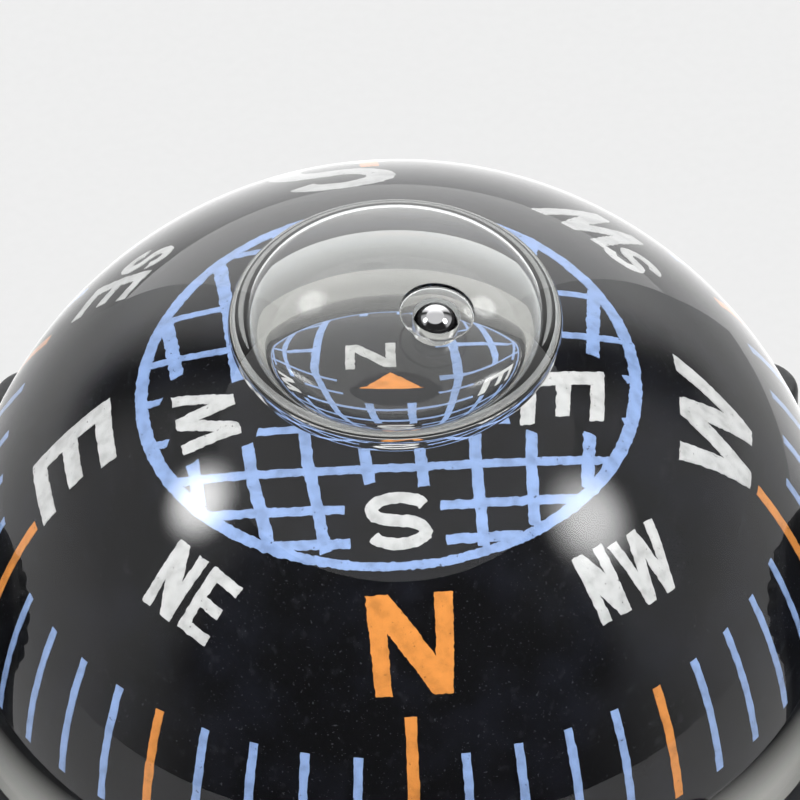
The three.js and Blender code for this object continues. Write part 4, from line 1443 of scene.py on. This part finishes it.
class COMPASS_OT_swivel(bpy.types.Operator):
    """Makes the swivel's screw, spring washer and friction disc"""

    bl_idname = "compass.swivel"
    bl_label = "Swivel"

    def execute(self, context):
        low, high = heights("spring_washer")
        place("split_spring_washer", split_washer(SPRING_IN, SPRING_OUT, low, high - low),
              ["zinc"], "base", ["spring_washer"], 0)
        low, high = heights("swivel_screw")
        under = high - SWIVEL_HEAD_HEIGHT
        screw = pan_screw(SWIVEL_HEAD, SWIVEL_HEAD_HEIGHT, BOLT_RADIUS, under - low)
        moved(screw, Matrix.Translation((0, 0, under)) @ Matrix.Rotation(math.pi, 4, "X"))
        place("swivel_pan_screw", screw, ["zinc"], "base", ["swivel_screw"], 0)
        low, high = heights("friction_disc")
        disc = turned([(BOLT_HOLE, low, 0.06), (DISC_RADIUS, low, 0.06),
                       (DISC_RADIUS, high, 0.06), (BOLT_HOLE, high, 0.06)], 96, 3)
        place("fibre_disc", disc, ["fibre"], "base", ["friction_disc"], 0)
        return {"FINISHED"}


FOOT_RADIUS = 12
FOOT_SHOULDER = 9.9
NECK_SLOT, HEAD_SLOT = 3.9, 5.3  # half widths of the T-slot's neck and head
NECK_TOP, HEAD_BOTTOM, HEAD_TOP = 9.15, 9.05, 11.9
SLOT_REACH = 14
SWIVEL_HOLE = 2.35
GROOVE_TOP, GROOVE_BOTTOM = 9.0, 8.5
GROOVE_DEPTH = 0.25


class COMPASS_OT_foot(bpy.types.Operator):
    """Makes the foot with its T-slot"""

    bl_idname = "compass.foot"
    bl_label = "Foot"

    def execute(self, context):
        low, high = heights("foot")
        outline = [(0, low, 0), (FOOT_RADIUS, low, 0.4), (FOOT_RADIUS, FOOT_SHOULDER, 0.5),
                   (9.6, high - 1.2, 0.9), (8.4, high, 0.5), (0, high, 0)]
        changes = []
        for half, bottom, top in ((NECK_SLOT, low - SPARE, NECK_TOP),
                                  (HEAD_SLOT, HEAD_BOTTOM, HEAD_TOP)):
            changes.append(("-", rod(half, bottom, top, 64)))
            changes.append(("-", block((-half, 0, bottom), (half, SLOT_REACH, top))))
        changes.append(("-", rod(SWIVEL_HOLE, HEAD_TOP - SPARE, high + SPARE, 40)))
        outside, groove = FOOT_RADIUS + 0.6, FOOT_RADIUS - GROOVE_DEPTH
        changes.append(("-", turned([(outside, GROOVE_TOP, 0), (groove, GROOVE_TOP, 0.1),
                                     (groove, GROOVE_BOTTOM, 0.1), (outside, GROOVE_BOTTOM, 0)],
                                    144)))
        place("swivel_foot", combine(turned(outline, 144), changes), ["abs"], "base",
              ["foot"], 0)
        return {"FINISHED"}


CUP_RADIUS = 21
CUP_EDGE = 0.9  # how thick the cup's edge is
RIM_IN = 19.6
HOLLOW_HEIGHT = 3.6
BELL_BEND, BELL_TOP = (13.5, 2.25), (6, 7)
STUD_NECK, STUD_HEAD = 3.6, 5
NECK_END, STUD_TOP = 9.1, 11.6
CUP_STEPS = 24


class COMPASS_OT_cup(bpy.types.Operator):
    """Makes the clear suction cup with its stud and pull tab"""

    bl_idname = "compass.cup"
    bl_label = "Suction cup"

    def execute(self, context):
        shares = [k / CUP_STEPS for k in range(CUP_STEPS + 1)]
        hollow = [(RIM_IN * t, HOLLOW_HEIGHT * (1 - t ** 2), 0) for t in shares]
        low, mid, high = Vector((CUP_RADIUS, CUP_EDGE)), Vector(BELL_BEND), Vector(BELL_TOP)
        bell = [low * (1 - t) ** 2 + mid * 2 * t * (1 - t) + high * t * t for t in shares[1:]]
        outline = [*hollow, (CUP_RADIUS, 0, 0.25), (CUP_RADIUS, CUP_EDGE, 0.25),
                   *((spot.x, spot.y, 0) for spot in bell[:-1]), (*BELL_TOP, 0.3),
                   (STUD_NECK, BELL_TOP[1], 0.3), (STUD_NECK, NECK_END, 0.15),
                   (STUD_HEAD, NECK_END, 0.2), (STUD_HEAD, STUD_TOP, 0.7), (0, STUD_TOP, 0)]
        tab = block((-4, 20.3, 0.02), (4, 23.6, 1.0), 0.3)
        place("clear_suction_cup", combine(turned(outline, 144), [("+", tab)]), ["pvc"], "base",
              ["suction_cup"], 0)
        return {"FINISHED"}


CARRIED = {"magnet_carrier": "nylon", "bar_magnet_left": "magnet", "bar_magnet_right": "magnet",
           "ballast_weight": "lead", "pivot_insert_left": "brass", "pivot_insert_right": "brass",
           "swivel_insert": "brass"}


class COMPASS_OT_finishes(bpy.types.Operator):
    """Gives the CAD nodes that stay their finishes"""

    bl_idname = "compass.finishes"
    bl_label = "Inner parts"

    def execute(self, context):
        for node, finish in CARRIED.items():
            data = frame["nodes"][node].data
            data.materials.clear()
            data.materials.append(materials()[finish])
        return {"FINISHED"}


# ---------------------------------------------------------------- stage

IMAGE_PX = 800
SENSOR_MM = 36.0
LAMP_DISTANCE = 0.8
# Lamps: name, direction from the ball, radius in metres, radiance
LAMPS = [("left_lamp", (-0.75, -0.11, 0.65), 0.18, 20.0),
         ("right_lamp", (0.745, -0.21, 0.633), 0.22, 14.0)]
FLOOR_RADIUS = 2.5
FLOOR_GLOW = 0.6  # share of the floor that looks the same in any light
FLAG_RADIUS, FLAG_HEIGHT, FLAG_INNER = 0.9, 1.05, 0.2
FLAG_GAP = math.radians(30)
FLAG_STEPS = 60
OVER_FLOOR = 0.002


def lamp(name, direction, radius, radiance):
    """A round lamp with a soft edge that shines on the ball."""
    data = bpy.data.lights.new(name, "AREA")
    data.shape = "DISK"
    data.size = 2 * radius
    data.energy = radiance * math.pi ** 2 * radius ** 2
    data.spread = math.pi
    data.use_nodes = True
    tree = data.node_tree
    tree.nodes.clear()
    spot = add(tree, "ShaderNodeNewGeometry").outputs["Parametric"]
    centred = add(tree, VECTOR, {0: spot, 1: (0.5, 0.5, 0)}, operation="SUBTRACT")
    flat = add(tree, VECTOR, {0: centred, 1: (1, 1, 0)}, operation="MULTIPLY")
    away = add(tree, VECTOR, {0: flat}, operation="LENGTH")
    soft = add(tree, RANGE, {"Value": away, "From Max": 0.5, "To Min": 1.0, "To Max": 0.0},
               interpolation_type="SMOOTHERSTEP")
    glow = add(tree, "ShaderNodeEmission", {"Color": (1, 1, 1, 1), "Strength": soft})
    add(tree, "ShaderNodeOutputLight", {"Surface": glow})
    item = bpy.data.objects.new(name, data)
    way = Vector(direction).normalized()
    item.location = CENTRE + way * LAMP_DISTANCE
    item.rotation_euler = way.to_track_quat("Z", "Y").to_euler()
    bpy.context.scene.collection.objects.link(item)


def staged(name, form, material):
    """Makes a form in metres into a part of the stage."""
    mesh = to_mesh(form, name)
    mesh.materials.append(material)
    item = bpy.data.objects.new(name, mesh)
    bpy.context.scene.collection.objects.link(item)
    return item


class COMPASS_OT_stage(bpy.types.Operator):
    """Sets up the floor, the lamps, the screens of painted reflection, the world and the camera"""

    bl_idname = "compass.stage"
    bl_label = "Stage"

    def execute(self, context):
        scene = context.scene
        self.floor()
        self.flags()
        for settings in LAMPS:
            lamp(*settings)
        self.world(scene)
        self.camera(scene)
        scene.view_settings.view_transform = "Standard"
        scene.cycles.glossy_bounces = 16
        scene.cycles.transmission_bounces = 24
        scene.cycles.max_bounces = 32
        return {"FINISHED"}

    def floor(self):
        """A round sheet of pale paper that partly glows evenly, with painted light: a painted glow
        on its far side in reflections, and painted brightness where it is seen through clear parts.
        """
        material, tree = new_material("matt_white_paper")
        base = paint("floor")
        tone = add(tree, RAMP, {"Fac": grain(tree, 0.6, 3)},
                   [(0.3, shade(base, 0.985)), (0.7, base)])
        paper = add(tree, "ShaderNodeBsdfDiffuse", {"Color": tone})
        path = add(tree, "ShaderNodeLightPath").outputs
        spot = add(tree, "ShaderNodeTexCoord").outputs["Object"]
        way = add(tree, VECTOR, {0: spot}, operation="NORMALIZE")
        rear = add(tree, VECTOR, {0: way, 1: (0.25, 0.97, 0)}, operation="DOT_PRODUCT")
        # Painted reflection: for glossy rays the far side glows up to 1.2 brighter, and for rays
        # through clear parts the whole floor glows 0.4 brighter
        painted_rear_glow = add(tree, RANGE, {"Value": rear, "From Min": 0.74, "From Max": 0.93,
                                  "To Max": 1.2}, interpolation_type="SMOOTHSTEP")
        painted_rear_glow = add(tree, MATH, {0: path["Is Glossy Ray"], 1: painted_rear_glow}, operation="MULTIPLY")
        through = add(tree, MATH, {0: path["Is Transmission Ray"], 1: 0.4}, operation="MULTIPLY")
        more = add(tree, MATH, {0: painted_rear_glow, 1: through}, operation="ADD")
        strength = add(tree, MATH, {0: more, 1: 1.0}, operation="ADD")
        own = add(tree, "ShaderNodeEmission", {"Color": tone, "Strength": strength})
        seen = add(tree, MATH, {0: path["Is Camera Ray"], 1: path["Is Glossy Ray"]},
                   operation="MAXIMUM")
        seen = add(tree, MATH, {0: seen, 1: path["Is Transmission Ray"]}, operation="MAXIMUM")
        share = add(tree, MATH, {0: seen, 1: FLOOR_GLOW}, operation="MULTIPLY")
        mix = add(tree, "ShaderNodeMixShader", {0: share, 1: paper, 2: own})
        add(tree, "ShaderNodeOutputMaterial", {"Surface": mix})
        form = bmesh.new()
        bmesh.ops.create_circle(form, cap_ends=True, segments=96, radius=FLOOR_RADIUS)
        staged("paper_floor", form, material)

    def flags(self):
        """Screens round the front and sides that only gloss sees, placed like a studio's flags.
        They glow as painted reflections: dark, with brighter bands at the hem, the side panels and
        the ground.
        """
        material, tree = new_material("black_flag_cloth")
        tone = add(tree, RAMP, {"Fac": grain(tree, 3.0, 2)},
                   [(0.3, grey(0.02)), (0.7, grey(0.035))])
        spot = add(tree, "ShaderNodeTexCoord").outputs["Object"]
        flat = add(tree, VECTOR, {0: spot, 1: (1, 1, 0)}, operation="MULTIPLY")
        level = add(tree, VECTOR, {0: flat}, operation="NORMALIZE")
        way = add(tree, "ShaderNodeSeparateXYZ", {0: level}).outputs
        # Painted reflection: brighter bands at the back hem, the side panels and towards the
        # ground, over a dark glow
        hem = add(tree, RANGE, {"Value": way["Y"], "From Min": 0.62, "From Max": 0.86,
                                "To Max": 1.5}, interpolation_type="SMOOTHSTEP")
        sideways = add(tree, MATH, {0: way["X"]}, operation="ABSOLUTE")
        panel = add(tree, RANGE, {"Value": sideways, "From Min": 0.8, "From Max": 0.96,
                                  "To Max": 0.6}, interpolation_type="SMOOTHSTEP")
        wall = add(tree, MATH, {0: hem, 1: panel}, operation="ADD")
        ground = add(tree, RANGE, {"Value": way["Y"], "From Min": -0.85, "From Max": 0.05,
                                   "To Max": 0.85}, interpolation_type="SMOOTHSTEP")
        height = add(tree, "ShaderNodeSeparateXYZ", {0: spot}).outputs["Z"]
        up = add(tree, RANGE, {"Value": height, "From Max": 0.3}, interpolation_type="SMOOTHSTEP")
        bright = add(tree, MIX, {0: up, "A": ground, "B": wall})
        painted_reflection_tone = add(tree, MIX, {0: bright, "A": tone, "B": grey(1)}, data_type="RGBA",
                    clamp_factor=False)
        glow = add(tree, "ShaderNodeEmission", {"Color": painted_reflection_tone})
        add(tree, "ShaderNodeOutputMaterial", {"Surface": glow})
        form = bmesh.new()
        rows = []
        for k in range(FLAG_STEPS + 1):
            turn = POLE + FLAG_GAP + (AROUND - 2 * FLAG_GAP) * k / FLAG_STEPS
            c, s = math.cos(turn), math.sin(turn)
            rows.append([form.verts.new((radius * c, radius * s, z)) for radius, z in (
                (FLAG_INNER, OVER_FLOOR), (FLAG_RADIUS, OVER_FLOOR), (FLAG_RADIUS, FLAG_HEIGHT))])
        for a, b in zip(rows, rows[1:]):
            form.faces.new((a[0], b[0], b[1], a[1]))
            form.faces.new((a[1], b[1], b[2], a[2]))
        flags = staged("dark_flags", form, material)
        for ray in ("camera", "diffuse", "transmission", "volume_scatter", "shadow"):
            setattr(flags, "visible_" + ray, False)

    def world(self, scene):
        """White surroundings: what the eye sees, what gloss reflects, and a softer light."""
        world = bpy.data.worlds.new("white_tent")
        scene.world = world
        world.use_nodes = True
        tree = world.node_tree
        tree.nodes.clear()
        path = add(tree, "ShaderNodeLightPath").outputs
        spot = add(tree, "ShaderNodeTexCoord").outputs["Generated"]
        way = add(tree, "ShaderNodeSeparateXYZ", {0: spot}).outputs
        rear = add(tree, RANGE, {"Value": way["Y"], "From Min": 0.2, "From Max": 0.75,
                                 "To Min": 0.9, "To Max": 2.1}, interpolation_type="SMOOTHSTEP")
        direct = add(tree, MATH, {0: path["Is Camera Ray"], 1: path["Is Transmission Ray"]},
                     operation="MAXIMUM")
        light = add(tree, "ShaderNodeBackground", {"Color": linear("#FFFFFF"), "Strength": 0.62})
        gloss = add(tree, "ShaderNodeBackground", {"Color": linear("#FFFFFF"), "Strength": rear})
        through = add(tree, RANGE, {"Value": path["Is Transmission Ray"], "To Min": 1.0,
                                    "To Max": 1.3})
        view = add(tree, "ShaderNodeBackground", {"Color": linear("#F2F2F2"),
                                                  "Strength": through})
        mix = add(tree, "ShaderNodeMixShader", {0: path["Is Glossy Ray"], 1: light, 2: gloss})
        mix = add(tree, "ShaderNodeMixShader", {0: direct, 1: mix, 2: view})
        add(tree, "ShaderNodeOutputWorld", {"Surface": mix})

    def camera(self, scene):
        """The photograph's view: far away, through a long lens."""
        view = scene.compass_view
        data = bpy.data.cameras.new("camera")
        far = view.distance / scene.compass_sizes.ball
        focal_px = view.radius_px * math.sqrt(far ** 2 - 1)
        data.sensor_width = SENSOR_MM
        data.lens = focal_px * SENSOR_MM / IMAGE_PX
        data.clip_start = 0.01
        data.clip_end = 20.0
        camera = bpy.data.objects.new("camera", data)
        back = Vector((0, -math.cos(view.elevation), math.sin(view.elevation)))
        right = Vector((1, 0, 0))
        base = Matrix((right, back.cross(right), back)).transposed()
        pitch = math.atan((view.centre_px[1] - IMAGE_PX / 2) / focal_px)
        yaw = math.atan((IMAGE_PX / 2 - view.centre_px[0]) / focal_px)
        turn = base @ Matrix.Rotation(view.roll, 3, "Z") @ Matrix.Rotation(pitch, 3, "X")
        turn = turn @ Matrix.Rotation(-yaw, 3, "Y")
        camera.matrix_world = Matrix.Translation(CENTRE + back * view.distance) @ turn.to_4x4()
        scene.collection.objects.link(camera)
        scene.camera = camera


# ---------------------------------------------------------------- panel and main

OPERATORS = (COMPASS_OT_ball, COMPASS_OT_oil, COMPASS_OT_plug, COMPASS_OT_card, COMPASS_OT_print,
             COMPASS_OT_ticks, COMPASS_OT_band, COMPASS_OT_screws, COMPASS_OT_washers,
             COMPASS_OT_knobs, COMPASS_OT_bracket, COMPASS_OT_swivel, COMPASS_OT_foot,
             COMPASS_OT_cup, COMPASS_OT_finishes, COMPASS_OT_stage)


class COMPASS_PT_panel(bpy.types.Panel):
    """Sizes, colours and steps of the compass"""

    bl_idname = "COMPASS_PT_panel"
    bl_label = "Compass"
    bl_space_type = "VIEW_3D"
    bl_region_type = "UI"
    bl_category = "Compass"

    def draw(self, context):
        layout = self.layout
        for name in GROUPS:
            group = getattr(context.scene, name)
            box = layout.box()
            for setting in group.__annotations__:
                box.prop(group, setting)
        for operator in OPERATORS:
            layout.operator(operator.bl_idname)


GROUPS = {"compass_sizes": CompassSizes, "compass_colours": CompassColours,
          "compass_view": CompassView}


def register():
    for kind in (*GROUPS.values(), *OPERATORS, COMPASS_PT_panel):
        bpy.utils.register_class(kind)
    for name, kind in GROUPS.items():
        setattr(bpy.types.Scene, name, bpy.props.PointerProperty(type=kind))


def unregister():
    for name in GROUPS:
        delattr(bpy.types.Scene, name)
    for kind in reversed((*GROUPS.values(), *OPERATORS, COMPASS_PT_panel)):
        bpy.utils.unregister_class(kind)


def main():
    register()
    for operator in OPERATORS:
        group, name = operator.bl_idname.split(".")
        getattr(getattr(bpy.ops, group), name)()


if __name__ == "__main__":
    main()
